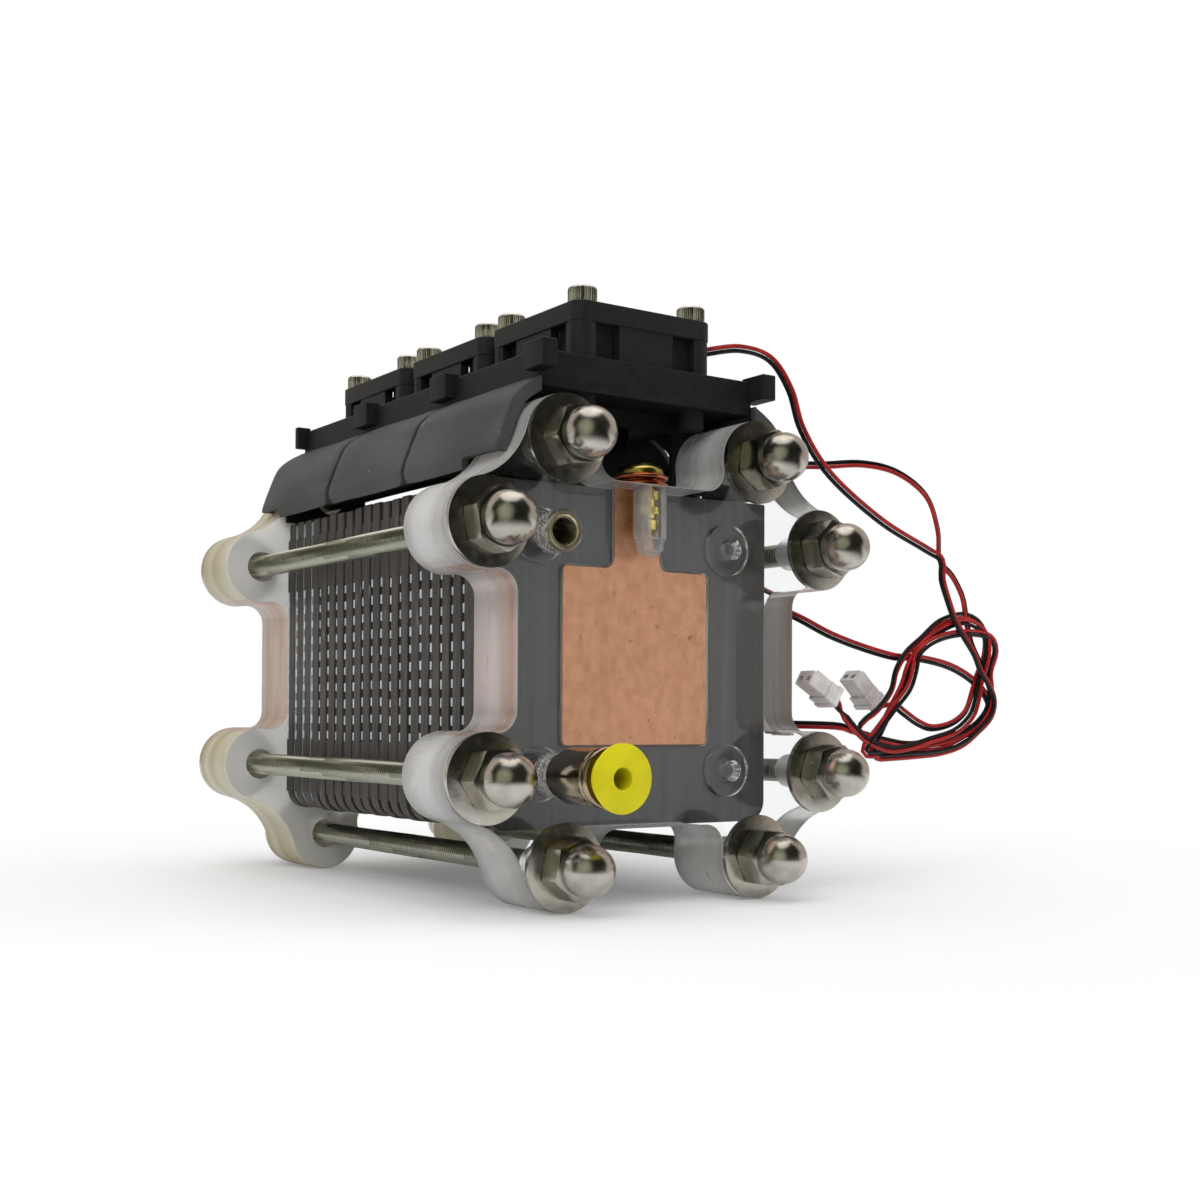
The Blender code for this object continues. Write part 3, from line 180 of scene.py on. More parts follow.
def surface(name, dark, light, rough, scale=90.0, bump=0.0, bump_scale=900.0, stretch=(1, 1, 1), detail=3.0,
            bump_stretch=None, marks=None, contrast=(0.35, 0.65), **sockets):
    """A material whose colour and roughness vary with noise, with a fine bump and, if given, marks."""
    made, tree = new_material(name)
    shader = tree.nodes["Principled BSDF"]
    for key, value in sockets.items():
        shader.inputs[key.replace("_", " ")].default_value = value
    cloud = noise_value(tree, scale, stretch, detail)
    share = between(tree, cloud, *contrast, 0.0, 1.0)
    colour = two_colours(tree, share, tone(*dark), tone(*light)).outputs["Result"]
    if marks:
        mark_colour, mark_scale, mark_stretch, start = marks
        spots = noise_value(tree, mark_scale, mark_stretch, 4.0, 0.6)
        found = between(tree, spots, start, start + 0.07, 0.0, 1.0)
        over = two_colours(tree, found, tone(*dark), tone(*mark_colour))
        link(tree, colour, over.inputs["A"])
        colour = over.outputs["Result"]
    link(tree, colour, shader.inputs["Base Color"])
    link(tree, between(tree, cloud, 0.3, 0.7, *rough), shader.inputs["Roughness"])
    if bump:
        grain = tree.nodes.new("ShaderNodeBump")
        grain.inputs["Strength"].default_value = bump
        grain.inputs["Distance"].default_value = 0.0002
        link(tree, noise_value(tree, bump_scale, bump_stretch or stretch, 4.0), grain.inputs["Height"])
        link(tree, grain.outputs["Normal"], shader.inputs["Normal"])
    return made


def acrylic(name, dark, light, rough, scale, transmission, IOR=1.49, **options):
    return surface(name, dark, light, rough, scale, Transmission_Weight=transmission, IOR=IOR, **options)


def metal(name, dark, light, rough, scale, bump=0.0, bump_scale=900.0, Metallic=1.0, **options):
    return surface(name, dark, light, rough, scale, bump, bump_scale, Metallic=Metallic, **options)


def plastic(name, dark, light, rough, scale, bump, bump_scale, gloss=0.3, **options):
    return surface(name, dark, light, rough, scale, bump, bump_scale, Specular_IOR_Level=gloss, **options)


def milled_edge(name, stops, rough, transmission, streak):
    """A satin edge whose colour changes through the plate's thickness, given as y and colour: painted light
    and shade on the front plate's edge, and a painted copper glow on the waist.
    """
    made = acrylic(name, *streak, rough, 260, transmission, stretch=(0.12, 1, 0.12), bump=0.02,
                   bump_scale=700, bump_stretch=(0.03, 1, 0.03))
    tree = made.node_tree
    shader = tree.nodes["Principled BSDF"]
    cloud = shader.inputs["Base Color"].links[0].from_socket
    axes = tree.nodes.new("ShaderNodeSeparateXYZ")
    link(tree, object_vector(tree), axes.inputs["Vector"])
    first, last = stops[0][0], stops[-1][0]
    ramp = tree.nodes.new("ShaderNodeValToRGB")
    ramp.color_ramp.interpolation = "EASE"
    while len(ramp.color_ramp.elements) < len(stops):
        ramp.color_ramp.elements.new(0.5)
    for spot, (y, shade) in zip(ramp.color_ramp.elements, stops):
        spot.position = (y - first) / (last - first)
        spot.color = (*tone(*shade), 1)
    link(tree, between(tree, axes.outputs["Y"], first, last, 0.0, 1.0), ramp.inputs["Fac"])
    mix = tree.nodes.new("ShaderNodeMix")
    mix.data_type = "RGBA"
    mix.blend_type = "MULTIPLY"
    mix.inputs["Factor"].default_value = 1.0
    link(tree, ramp.outputs["Color"], mix.inputs["A"])
    link(tree, cloud, mix.inputs["B"])
    link(tree, mix.outputs["Result"], shader.inputs["Base Color"])
    return made


CLEAR = acrylic("clear_face", (250, 252, 251), (255, 255, 255), (0.0, 0.02), 40, 1.0)
# The front edge's stops are painted light and shade: brighter in the middle of the thickness, darker towards
# both faces.
EDGE_FRONT = milled_edge(
    "milled_edge", [(-0.0691, (190, 189, 187)), (-0.0660, (218, 217, 215)), (-0.0610, (249, 248, 247)),
                    (-0.0550, (240, 239, 238)), (-0.0499, (206, 204, 202))],
    (0.26, 0.36), 0.52, ((240, 240, 239), (255, 255, 255)))
# This edge paints the pinkish glow of the copper collector seen through the front plate's waist: painted
# light, not a tint of the acrylic.
EDGE_FRONT_COPPER_GLOW = milled_edge(
    "milled_edge_copper_glow", [(-0.0691, (206, 198, 192)), (-0.0668, (204, 164, 148)), (-0.0640, (216, 190, 180)),
                           (-0.0585, (232, 222, 216)), (-0.0499, (212, 204, 199))],
    (0.26, 0.36), 0.50, ((236, 232, 230), (255, 255, 255)))
EDGE_REAR = milled_edge(
    "milled_edge_rear", [(0.0564, (244, 242, 234)), (0.0620, (236, 232, 212)), (0.0665, (222, 214, 182)),
                         (0.0710, (240, 236, 216)), (0.0756, (214, 204, 168))],
    (0.30, 0.42), 0.45, ((236, 230, 208), (255, 254, 248)))
# This edge paints the pinkish glow of the copper collector seen through the rear plate's waist: painted
# light, not a tint of the acrylic.
EDGE_REAR_COPPER_GLOW = milled_edge(
    "milled_edge_rear_copper_glow", [(0.0564, (240, 228, 220)), (0.0610, (232, 204, 190)),
                                (0.0660, (238, 222, 212)), (0.0756, (236, 230, 220))],
    (0.30, 0.42), 0.45, ((228, 200, 186), (255, 252, 250)))
CLOUDED = acrylic("clouded_face", (248, 247, 242), (253, 253, 250), (0.30, 0.40), 60, 0.45, bump=0.05)
BORE = acrylic("drilled_wall", (206, 206, 204), (238, 238, 236), (0.28, 0.42), 900, 0.80, stretch=(1, 3, 1),
               bump=0.5, bump_scale=1400)
WELL = acrylic("well_wall", (226, 228, 228), (250, 251, 251), (0.06, 0.16), 700, 0.60, 1.06,
               stretch=(1, 1, 0.5), bump=0.5, bump_stretch=(1, 1, 0.4))
POLISHED = acrylic("port_wall", (236, 238, 238), (250, 251, 251), (0.03, 0.10), 400, 0.92, bump=0.08,
                   bump_scale=1200)
DOME_STEEL = metal("cap_steel", (178, 174, 165), (200, 195, 187), (0.19, 0.27), 300, 0.08, 1500)
HEX_STEEL = metal("hex_steel", (150, 148, 136), (180, 176, 166), (0.16, 0.26), 260, 0.08, 1600,
                  stretch=(1, 1, 0.2))
WASHER_STEEL = metal("washer_steel", (180, 176, 165), (198, 194, 184), (0.20, 0.28), 420, 0.06, 2200)
ROD_STEEL = metal("rod_steel", (182, 183, 168), (192, 192, 178), (0.28, 0.34), 900)
# Darker steel for faces deep in the thread's grooves: painted shade.
ROD_GROOVE_SHADE = metal("rod_groove_shade_paint", (112, 113, 100), (126, 127, 113), (0.40, 0.46), 900)
SCREW_STEEL = metal("screw_steel", (198, 195, 184), (226, 223, 214), (0.18, 0.28), 500, 0.1)
NICKEL = metal("nickel", (146, 132, 110), (176, 161, 138), (0.12, 0.19), 200, 0.06, stretch=(1, 0.3, 1))
KNURL_SILVER = metal("knurled_silver", (206, 206, 203), (250, 250, 248), (0.22, 0.36), 600, 0.2,
                     Metallic=0.55)
BRASS = metal("brass", (190, 164, 70), (226, 204, 118), (0.18, 0.30), 260, 0.1)
BRASS_GREY = metal("turned_brass", (186, 178, 148), (214, 206, 176), (0.24, 0.36), 500, 0.15, 2400,
                   Metallic=0.9)
# Darker brass for the threaded bore's inside: painted shade.
BRASS_BORE_SHADE = metal("bore_shade_paint", (96, 92, 72), (126, 120, 98), (0.26, 0.36), 500, 0.15, Metallic=0.9)
COPPER = metal("brushed_copper", (204, 136, 92), (236, 172, 126), (0.34, 0.50), 420, 0.45, 1500,
               Metallic=0.55, stretch=(1, 1, 0.8), bump_stretch=(0.4, 1, 1), detail=8.0,
               contrast=(0.30, 0.70), marks=((158, 94, 58), 700, (1, 1, 1), 0.66))
# The neck takes a darker, duller copper than the sheet below it.
COPPER_NECK = metal("darker_neck_copper", (148, 92, 66), (190, 128, 96), (0.30, 0.46), 140, 0.3, 1000,
                    Metallic=0.6, detail=5.0)
COPPER_RING = metal("copper_ring", (204, 116, 76), (236, 156, 112), (0.14, 0.24), 260, 0.1)
GRAPHITE = plastic("graphite_edge", (56, 53, 51), (84, 79, 76), (0.48, 0.62), 700, 0.45, 2600, 0.35,
                   stretch=(1, 1.4, 0.12), bump_stretch=(1, 1, 0.4),
                   marks=((118, 112, 108), 420, (1, 1.2, 0.3), 0.66))
GRAPHITE_FACE = plastic("graphite_face", (66, 66, 67), (84, 84, 85), (0.36, 0.48), 420, 0.2, 1600, 0.5,
                        stretch=(1, 1, 0.02), bump_stretch=(1, 1, 0.03))
# Near-black sheets sunk in the joints between cells: painted shade in the gaps.
JOINT_SHADE = plastic("joint_shade_paint", (16, 15, 15), (30, 28, 28), (0.6, 0.75), 500, 0.2, 900, 0.2)
SEAL_PALE = surface("seal_pale", (164, 180, 186), (204, 216, 220), (0.5, 0.65), 700, 0.2, stretch=(1, 1, 0.4))
SEAL_BLACK = surface("seal_black", (24, 24, 26), (38, 38, 40), (0.4, 0.5), 500, 0.1)
YELLOW = plastic("yellow_plastic", (205, 195, 4), (217, 208, 12), (0.40, 0.50), 160, 0.10, 1500)
FAN_BLACK = plastic("fan_plastic", (31, 31, 33), (35, 35, 37), (0.50, 0.55), 420, 0.20, 2600)
ROTOR_BLACK = plastic("rotor_plastic", (26, 26, 28), (36, 36, 38), (0.38, 0.5), 240, 0.2, 2200)
SHROUD_BLACK = plastic("shroud_plastic", (27, 27, 28), (32, 32, 33), (0.53, 0.58), 420, 0.25, 2200, 0.25,
                       marks=((58, 58, 60), 260, (1, 0.25, 1), 0.72))
FLAP_GREY = plastic("flap_plastic", (60, 60, 61), (82, 82, 83), (0.5, 0.64), 90, 0.5, 1500, detail=5.0,
                    stretch=(1, 0.3, 1), bump_stretch=(1, 0.25, 1),
                    marks=((128, 128, 130), 330, (1.3, 0.5, 0.9), 0.70))
WIRE_RED = plastic("red_wire", (142, 16, 18), (176, 28, 28), (0.32, 0.42), 260, 0.12, 1500, 0.4)
WIRE_BLACK = plastic("black_wire", (12, 12, 14), (22, 22, 25), (0.34, 0.44), 260, 0.12, 1500)
PLUG_WHITE = surface("plug_nylon", (206, 200, 198), (226, 222, 220), (0.42, 0.55), 300, 0.15, 1800)
LABEL_GREY = surface("hub_label", (58, 58, 60), (74, 74, 76), (0.5, 0.62), 120, 0.1)


# Mesh helpers. Each adds faces to a bmesh, and solid() makes a mesh of one of them.

def at(x, y, z):
    return Matrix.Translation((x, y, z))


def axis_place(x, y, z, direction):
    """Puts local Z along a direction from a point."""
    return at(x, y, z) @ Vector(direction).to_track_quat("Z", "Y").to_matrix().to_4x4()


def skin(shape, rows, ring=False, caps=False, wrap=True, mat=0):
    """Faces between rows of points; a row of one point is a pole."""
    loops = [[shape.verts.new(p) for p in row] for row in rows]
    pairs = list(zip(loops, loops[1:]))
    if ring:
        pairs.append((loops[-1], loops[0]))
    for a, b in pairs:
        count = max(len(a), len(b))
        for i in range(count if wrap else count - 1):
            j = (i + 1) % count
            if len(a) == 1:
                corners = (a[0], b[j], b[i])
            elif len(b) == 1:
                corners = (a[i], a[j], b[0])
            else:
                corners = (a[i], a[j], b[j], b[i])
            shape.faces.new(corners).material_index = mat
    if caps:
        for loop in (loops[0], loops[-1]):
            if len(loop) > 2:
                shape.faces.new(loop).material_index = mat


def circle(sides, reach, level, place):
    """A row of points round local Z; reach gives the distance from the axis at an angle."""
    row = []
    for i in range(sides):
        angle = 2 * math.pi * i / sides
        r = reach(angle)
        row.append(place @ Vector((r * math.cos(angle), r * math.sin(angle), level)))
    return row


def turned(profile, sides, place=UNIT, radius=None):
    """Rows for a solid turned round local Z; radius may change a point's distance from the axis."""
    rows = []
    for r, z in profile:
        if r < 1e-7:
            rows.append([place @ Vector((0.0, 0.0, z))])
        else:
            rows.append(circle(sides, lambda a: radius(r, z, a) if radius else r, z, place))
    return rows


def lathe(shape, profile, sides, place=UNIT, radius=None, **faces):
    skin(shape, turned(profile, sides, place, radius), **faces)


def peg(shape, r, low, high, sides, place=UNIT):
    lathe(shape, [(0, low), (r, low), (r, high), (0, high)], sides, place)


def levels(r, low, high, count):
    return [(r, low + (high - low) * i / count) for i in range(count + 1)]


def inset(points, by):
    """A closed anticlockwise outline moved inwards."""
    moved, count = [], len(points)
    for i, (x, y) in enumerate(points):
        (ax, ay), (bx, by_) = points[i - 1], points[(i + 1) % count]
        along = Vector((bx - ax, by_ - ay)).normalized()
        moved.append((x - along.y * by, y + along.x * by))
    return moved


def prism(shape, points, low, high, place=UNIT, chamfer=0.0):
    """A solid with a flat outline in local X and Y, from low to high along local Z."""
    stops = ((low, points), (high, points))
    if chamfer:
        small = inset(points, chamfer)
        stops = ((low, small), (low + chamfer, points), (high - chamfer, points), (high, small))
    skin(shape, [[place @ Vector((x, y, level)) for x, y in outline] for level, outline in stops], caps=True)


def rounded(corners, steps=5):
    """A closed outline through corners given as x, y and radius."""
    points, count = [], len(corners)
    for i, (x, y, r) in enumerate(corners):
        here = Vector((x, y))
        if r <= 0:
            points.append((x, y))
            continue
        back = (Vector(corners[i - 1][:2]) - here).normalized()
        on = (Vector(corners[(i + 1) % count][:2]) - here).normalized()
        half = back.angle(on) / 2
        centre = here + (back + on).normalized() * (r / math.sin(half))
        start = here + back * (r / math.tan(half)) - centre
        end = here + on * (r / math.tan(half)) - centre
        turn = start.angle(end)
        for k in range(steps + 1):
            t = k / steps
            spot = centre + (start * math.sin((1 - t) * turn) + end * math.sin(t * turn)) / math.sin(turn)
            points.append((spot.x, spot.y))
    return points


def rectangle(low_x, high_x, low_y, high_y, r, steps):
    return rounded([(low_x, low_y, r), (high_x, low_y, r), (high_x, high_y, r), (low_x, high_y, r)], steps)


def arc(cx, cy, radius, start, end, steps):
    """Points from one angle to another, in degrees."""
    points = []
    for i in range(steps + 1):
        angle = math.radians(start + (end - start) * i / steps)
        points.append((cx + radius * math.cos(angle), cy + radius * math.sin(angle)))
    return points


def block(shape, low, high, r=0.0, chamfer=0.0):
    """A block between two corners, whose upright edges are rounded."""
    prism(shape, rectangle(low[0], high[0], low[1], high[1], r, 3), low[2], high[2], UNIT, chamfer)


def to_mesh(shape, name):
    bmesh.ops.recalc_face_normals(shape, faces=shape.faces)
    mesh = bpy.data.meshes.new(name)
    shape.to_mesh(mesh)
    shape.free()
    return mesh


def solid(build, *values, **options):
    """A mesh of one shape, made by one of the functions above."""
    shape = bmesh.new()
    build(shape, *values, **options)
    return to_mesh(shape, build.__name__)


def new_object(name, data):
    thing = bpy.data.objects.new(name, data)
    bpy.context.scene.collection.objects.link(thing)
    return thing


def combined(name, mesh, steps):
    """The mesh after boolean steps, each a mesh and an operation."""
    meshes = [mesh] + [other for other, _ in steps]
    made = [new_object(f"{name}_step_{i}", data) for i, data in enumerate(meshes)]
    for thing, (_, operation) in zip(made[1:], steps):
        step = made[0].modifiers.new("step", "BOOLEAN")
        step.operation = operation
        step.solver = "EXACT"
        step.object = thing
    bpy.context.view_layer.update()
    shaped = made[0].evaluated_get(bpy.context.evaluated_depsgraph_get())
    result = bpy.data.meshes.new_from_object(shaped)
    result.name = name
    for thing in made:
        bpy.data.objects.remove(thing)
    return result


def add_piece(name, data, materials, nodes=(), body="stack", angle=32):
    """Puts a piece in the scene, riding on its body and standing for its CAD nodes."""
    for material in materials:
        data.materials.append(material)
    thing = new_object(name, data)
    if isinstance(data, bpy.types.Mesh):
        data.shade_smooth()
        data.set_sharp_from_angle(angle=math.radians(angle))
    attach(thing, body)
    if nodes:
        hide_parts(*nodes)
    return thing


# The leads: two wires side by side from each fan, through the coil, to a plug.

LEAD_START_Z = 0.0762
LEAD_ROUTES = [
    [(0.0310, 0.0100, 0.0785), (0.0410, 0.0100, 0.0772), (0.0477, 0.0100, 0.0702), (0.0520, 0.0100, 0.0602),
     (0.0617, 0.0100, 0.0496), (0.0798, 0.0100, 0.0391), (0.0965, 0.0095, 0.0325)],
    [(0.0280, 0.0532, 0.0772), (0.0380, 0.0490, 0.0716), (0.0480, 0.0390, 0.0622), (0.0560, 0.0270, 0.0548),
     (0.0650, 0.0190, 0.0536), (0.0770, 0.0140, 0.0545), (0.0880, 0.0115, 0.0528), (0.0975, 0.0100, 0.0470),
     (0.1020, 0.0100, 0.0380)],
    [(0.0300, 0.0965, 0.0772), (0.0420, 0.0935, 0.0706), (0.0505, 0.0880, 0.0590), (0.0550, 0.0760, 0.0450),
     (0.0575, 0.0600, 0.0320), (0.0585, 0.0450, 0.0225), (0.0587, 0.0300, 0.0165), (0.0610, 0.0205, 0.0122),
     (0.0680, 0.0170, 0.0082), (0.0780, 0.0150, 0.0050)],
]
# The leads' middle lines through the loose coil, as x and z in millimetres. The points were picked in
# the photo and turned into millimetres through the fitted camera, then moved a little.
COIL_TURNS = [
    [(101.9, 29.7), (102.4, 24.3), (104.7, 19.0), (107.6, 13.6), (111.5, 8.8), (115.9, 3.9), (118.5, -0.6),
     (122.2, -4.6), (124.6, -9.1), (123.3, -13.7), (118.1, -17.8), (111.6, -21.6), (103.0, -23.6),
     (93.3, -24.3), (84.4, -24.7), (79.4, -24.6), (77.6, -22.0), (80.4, -17.8), (84.4, -12.0), (89.1, -5.1),
     (91.1, -0.2), (95.3, 5.3), (102.2, 9.7), (111.5, 13.0), (118.8, 11.8), (122.2, 8.1), (121.8, 2.5),
     (119.2, -3.6), (117.7, -9.2), (115.2, -13.7), (108.7, -17.8), (98.8, -20.2), (90.5, -22.1),
     (83.1, -22.6), (75.8, -20.6), (71.2, -17.8), (67.0, -14.2)],
    [(104.3, 29.9), (109.3, 25.7), (113.1, 20.4), (114.3, 15.9), (115.2, 11.4), (116.6, 6.9), (119.6, 2.0),
     (123.3, -3.5), (125.0, -9.1), (122.9, -14.2), (115.9, -18.8), (105.1, -22.7), (94.6, -23.4),
     (85.1, -21.9), (77.1, -20.0), (72.4, -17.3), (74.6, -14.6), (79.1, -12.0), (84.4, -6.7), (86.4, -1.3),
     (90.5, 3.7), (96.6, 7.8), (103.7, 12.5), (113.0, 14.8), (119.6, 13.2), (122.7, 9.2), (122.5, 3.6),
     (119.6, -2.1), (117.4, -7.7), (115.2, -12.2), (109.8, -15.5), (102.3, -16.8), (96.7, -15.3),
     (91.6, -12.6)],
    [(87.7, 2.6), (94.6, 2.6), (105.1, 1.3), (112.3, -0.7), (118.8, -3.9), (123.0, -7.6), (124.2, -11.1),
     (121.2, -14.9), (113.0, -18.8), (103.7, -20.7), (94.6, -21.7), (85.1, -23.3), (75.4, -23.9),
     (74.6, -21.4), (78.4, -17.6), (84.4, -11.5), (89.8, -6.1), (92.2, -0.7), (93.5, 3.3), (98.7, 6.8),
     (106.5, 9.1), (115.9, 10.0), (123.4, 9.0), (125.8, 5.2), (123.6, -1.0), (124.2, -6.1), (122.7, -12.2),
     (115.9, -17.3), (105.1, -19.7), (93.2, -21.4), (83.1, -20.2), (77.1, -18.9), (70.6, -17.3),
     (65.4, -16.3)],
]
# Millimetres behind the front plate's face at the coil's start, middle and end.
COIL_DEPTHS = [(8.6, 10.6, 9.4), (11.4, 10.0, 12.6), (12.4, 9.0, 12.0)]
LEAD_ENDS = [[], [(0.0895, 0.0150, -0.0105)], [(0.0590, 0.0262, -0.0160)]]
# Each plug's middle and the way its mouth looks.
PLUG_PLACES = [((0.0573, 0.0100, -0.0062), (-0.86, 0.0, 0.51)),
               ((0.0810, 0.0190, -0.0060), (-0.72, 0.0, 0.69)),
               ((0.0500, 0.0290, -0.0158), (-1.0, 0.0, 0.05))]
PLUG_LONG, PLUG_WIDE, PLUG_DEEP = 0.0098, 0.0074, 0.0057
PLUG_RIM = 0.0008
WIRE_R = 0.00056
BLACK_FIRST = (-1, 1, -1)   # the side of the route on which the black wire lies


def placed(point):
    return Vector((point[0], FRONT_Y + point[1], MIDDLE_Z + point[2]))


def smooth_line(points, spacing):
    """Points at about even spacing on a smooth curve through the given points."""
    spots = [Vector(p) for p in points]
    count, result = len(spots), []
    for i in range(count - 1):
        a, b, c, d = (spots[min(max(i + k, 0), count - 1)] for k in (-1, 0, 1, 2))
        steps = max(1, round((c - b).length / spacing))
        for k in range(steps):
            t = k / steps
            result.append(0.5 * (2 * b + (c - a) * t + (2 * a - 5 * b + 4 * c - d) * t * t
                                 + (3 * b - a - 3 * c + d) * t ** 3))
    return result + [spots[-1]]


def lead_points(number):
    """The middle line of a pair of wires, from the fan to its plug."""
    start = Vector((FAN_SIDE / 2 + GAP, FAN_YS[number] - FAN_SIDE / 2 + 0.0035, MIDDLE_Z + LEAD_START_Z))
    points = [start] + [placed(p) for p in LEAD_ROUTES[number]]
    turns = COIL_TURNS[number]
    first, middle, last = COIL_DEPTHS[number]
    for i, (x, z) in enumerate(turns):
        t = 2 * i / (len(turns) - 1)
        depth = first + (middle - first) * t if t < 1 else middle + (last - middle) * (t - 1)
        points.append(placed((x / 1000, depth / 1000, z / 1000)))
    points += [placed(p) for p in LEAD_ENDS[number]]
    middle_point, mouth = PLUG_PLACES[number]
    aim = Vector(mouth).normalized()
    end = placed(middle_point) - aim * (PLUG_LONG / 2 + PLUG_RIM + 0.0001)
    return smooth_line(points + [end - aim * 0.0022, end], 0.0016)


def wire_lines(number):
    """The two wires of a pair, on either side of its middle line, twisting a little."""
    middle = lead_points(number)
    count = len(middle)
    mouth = Vector(PLUG_PLACES[number][1]).normalized()
    lines = ([], [])
    for i, point in enumerate(middle):
        along = (middle[min(i + 1, count - 1)] - middle[max(i - 1, 0)]).normalized()
        side = Vector((-along.z, 0.0, along.x))
        side = side.normalized() if side.length > 0.05 else Vector((0.0, 0.0, 1.0))
        across = along.cross(side).normalized()
        turn = 0.55 * math.sin(i * 0.045 + 1.7 * number)
        offset = side * math.cos(turn) + across * math.sin(turn)
        spread = WIRE_R * 1.04
        to_end = (count - 1 - i) / 6
        if to_end < 1:
            spread += (0.0011 - spread) * (1 - to_end) ** 2
            flat = Vector((0.0, 0.0, 1.0)).cross(mouth).normalized()
            offset = (offset * to_end + mouth.cross(flat) * (1 - to_end)).normalized()
        lines[0].append(point + offset * spread)
        lines[1].append(point - offset * spread)
    return lines


def make_plug(number):
    """A two-way white plug with latch slots and ribs, whose mouth points along local Z."""
    middle, mouth = PLUG_PLACES[number]
    wide, deep, long = PLUG_WIDE / 2, PLUG_DEEP / 2, PLUG_LONG / 2

    def sleeve(by, r, low, high, chamfer):
        outline = rectangle(-wide + by, wide - by, -deep + by, deep - by, r, 3)
        return solid(prism, outline, low, high, UNIT, chamfer)

    steps = [(sleeve(0.0, 0.0004, -long - PLUG_RIM, -long + PLUG_RIM, 0.00012), "UNION"),
             (sleeve(0.0003, 0.0004, -long + PLUG_RIM * 0.8, -long + 0.0034, 0.0001), "UNION")]
    for side in SIDES:
        rib = side * wide * 0.70
        steps.append((solid(block, (rib - 0.00028, deep - PLUG_RIM - 0.0004, -long + 0.003),
                            (rib + 0.00028, deep - PLUG_RIM * 0.35, long - 0.0010), 0.0001), "UNION"))
    for side in SIDES:
        slot = side * wide / 2.7
        steps += [(solid(block, (slot - 0.00062, deep - 2.6 * PLUG_RIM, long - 0.0046),
                         (slot + 0.00062, deep + 0.001, long - 0.0013)), "DIFFERENCE"),
                  (solid(block, (slot - 0.0008, -0.0010, long - 0.0030),
                         (slot + 0.0008, 0.0004, long + 0.001)), "DIFFERENCE")]
    mesh = combined(f"plug_{number + 1}_mesh", sleeve(PLUG_RIM, 0.0005, -long, long, 0.00015), steps)
    mesh.transform(axis_place(*placed(middle), mouth))
    return add_piece(f"plug_{number + 1}_fine", mesh, [PLUG_WHITE], [f"plug_{number + 1}"])


def make_wires():
    for number in range(3):
        plug = make_plug(number)
        lines = wire_lines(number)
        if BLACK_FIRST[number] > 0:
            lines = (lines[1], lines[0])
        nodes = [f"lead_{number + 1}", "lead_coil", f"tail_{number + 1}"]
        for line, word, material in zip(lines, ("red", "black"), (WIRE_RED, WIRE_BLACK)):
            curve = bpy.data.curves.new(f"wire_{word}_{number + 1}", "CURVE")
            curve.dimensions = "3D"
            curve.bevel_depth = WIRE_R
            curve.bevel_resolution = 2
            curve.use_fill_caps = True
            path = curve.splines.new("POLY")
            path.points.add(len(line) - 1)
            for spot, point in zip(path.points, line):
                spot.co = (*point, 1.0)
            wire = add_piece(f"wire_{word}_{number + 1}", curve, [material], nodes)


# The clear end plates.

PORT_SEAT_R = 0.0065
PORT_SEAT_DEEP = 0.0017
WELL_R = 0.0045
WELL_DEEP = 0.0120
COPPER_GLOW_HALF = 0.0185   # half height of the waist's stretch painted with the copper glow seen through it


def plate_outline():
    """The end plate's outline: a lobe round each rod, with fillets and hollows between them."""
    side = ROD_FAR - PLATE_WAIST - WAIST_FILLET
    rise = math.sqrt((LOBE_R + WAIST_FILLET) ** 2 - side ** 2)
    fillet_end = math.degrees(math.atan2(rise, side))
    total = ROD_FAR + ROD_NEAR
    square = 2 * (ROD_FAR ** 2 + ROD_NEAR ** 2 - (LOBE_R + CORNER_HOLLOW) ** 2)
    hollow = (total + math.sqrt(total ** 2 - square)) / 2
    to_hollow = math.degrees(math.atan2(hollow - ROD_NEAR, hollow - ROD_FAR))
    fillet_x, fillet_y = PLATE_WAIST + WAIST_FILLET, ROD_NEAR - rise
    quarter = arc(fillet_x, fillet_y, WAIST_FILLET, 180, fillet_end, 8)
    quarter += arc(ROD_FAR, ROD_NEAR, LOBE_R, fillet_end - 180, to_hollow, 34)[1:]
    quarter += arc(hollow, hollow, CORNER_HOLLOW, to_hollow - 180, -90 - to_hollow, 10)[1:]
    quarter += arc(ROD_NEAR, ROD_FAR, LOBE_R, 90 - to_hollow, 270 - fillet_end, 34)[1:]
    quarter += arc(fillet_y, fillet_x, WAIST_FILLET, 90 - fillet_end, -90, 8)[1:]
    points = []
    for cos, sin in ((1, 0), (0, 1), (-1, 0), (0, -1)):
        points += [(x * cos - y * sin, x * sin + y * cos) for x, y in quarter]
    return points


def rod_places():
    near, far = ROD_NEAR, ROD_FAR
    return [(-near, far), (near, far), (far, near), (far, -near), (near, -far), (-near, -far), (-far, -near),
            (-far, near)]


def collector_outline(grow, corner_r, top):
    """The collector with rounded corners and hollows beside its neck, which ends square at a height."""
    half, neck = COLLECTOR_HALF + grow, COLLECTOR_NECK + grow
    right = [(half, -half, corner_r), (half, half, corner_r), (neck, half, 0.0026), (neck, top, 0.0)]
    return rounded([(-half, -half, corner_r)] + right + [(-neck, top, 0.0), (-neck, half, 0.0026),
                                                         (-half, half, corner_r)], 6)


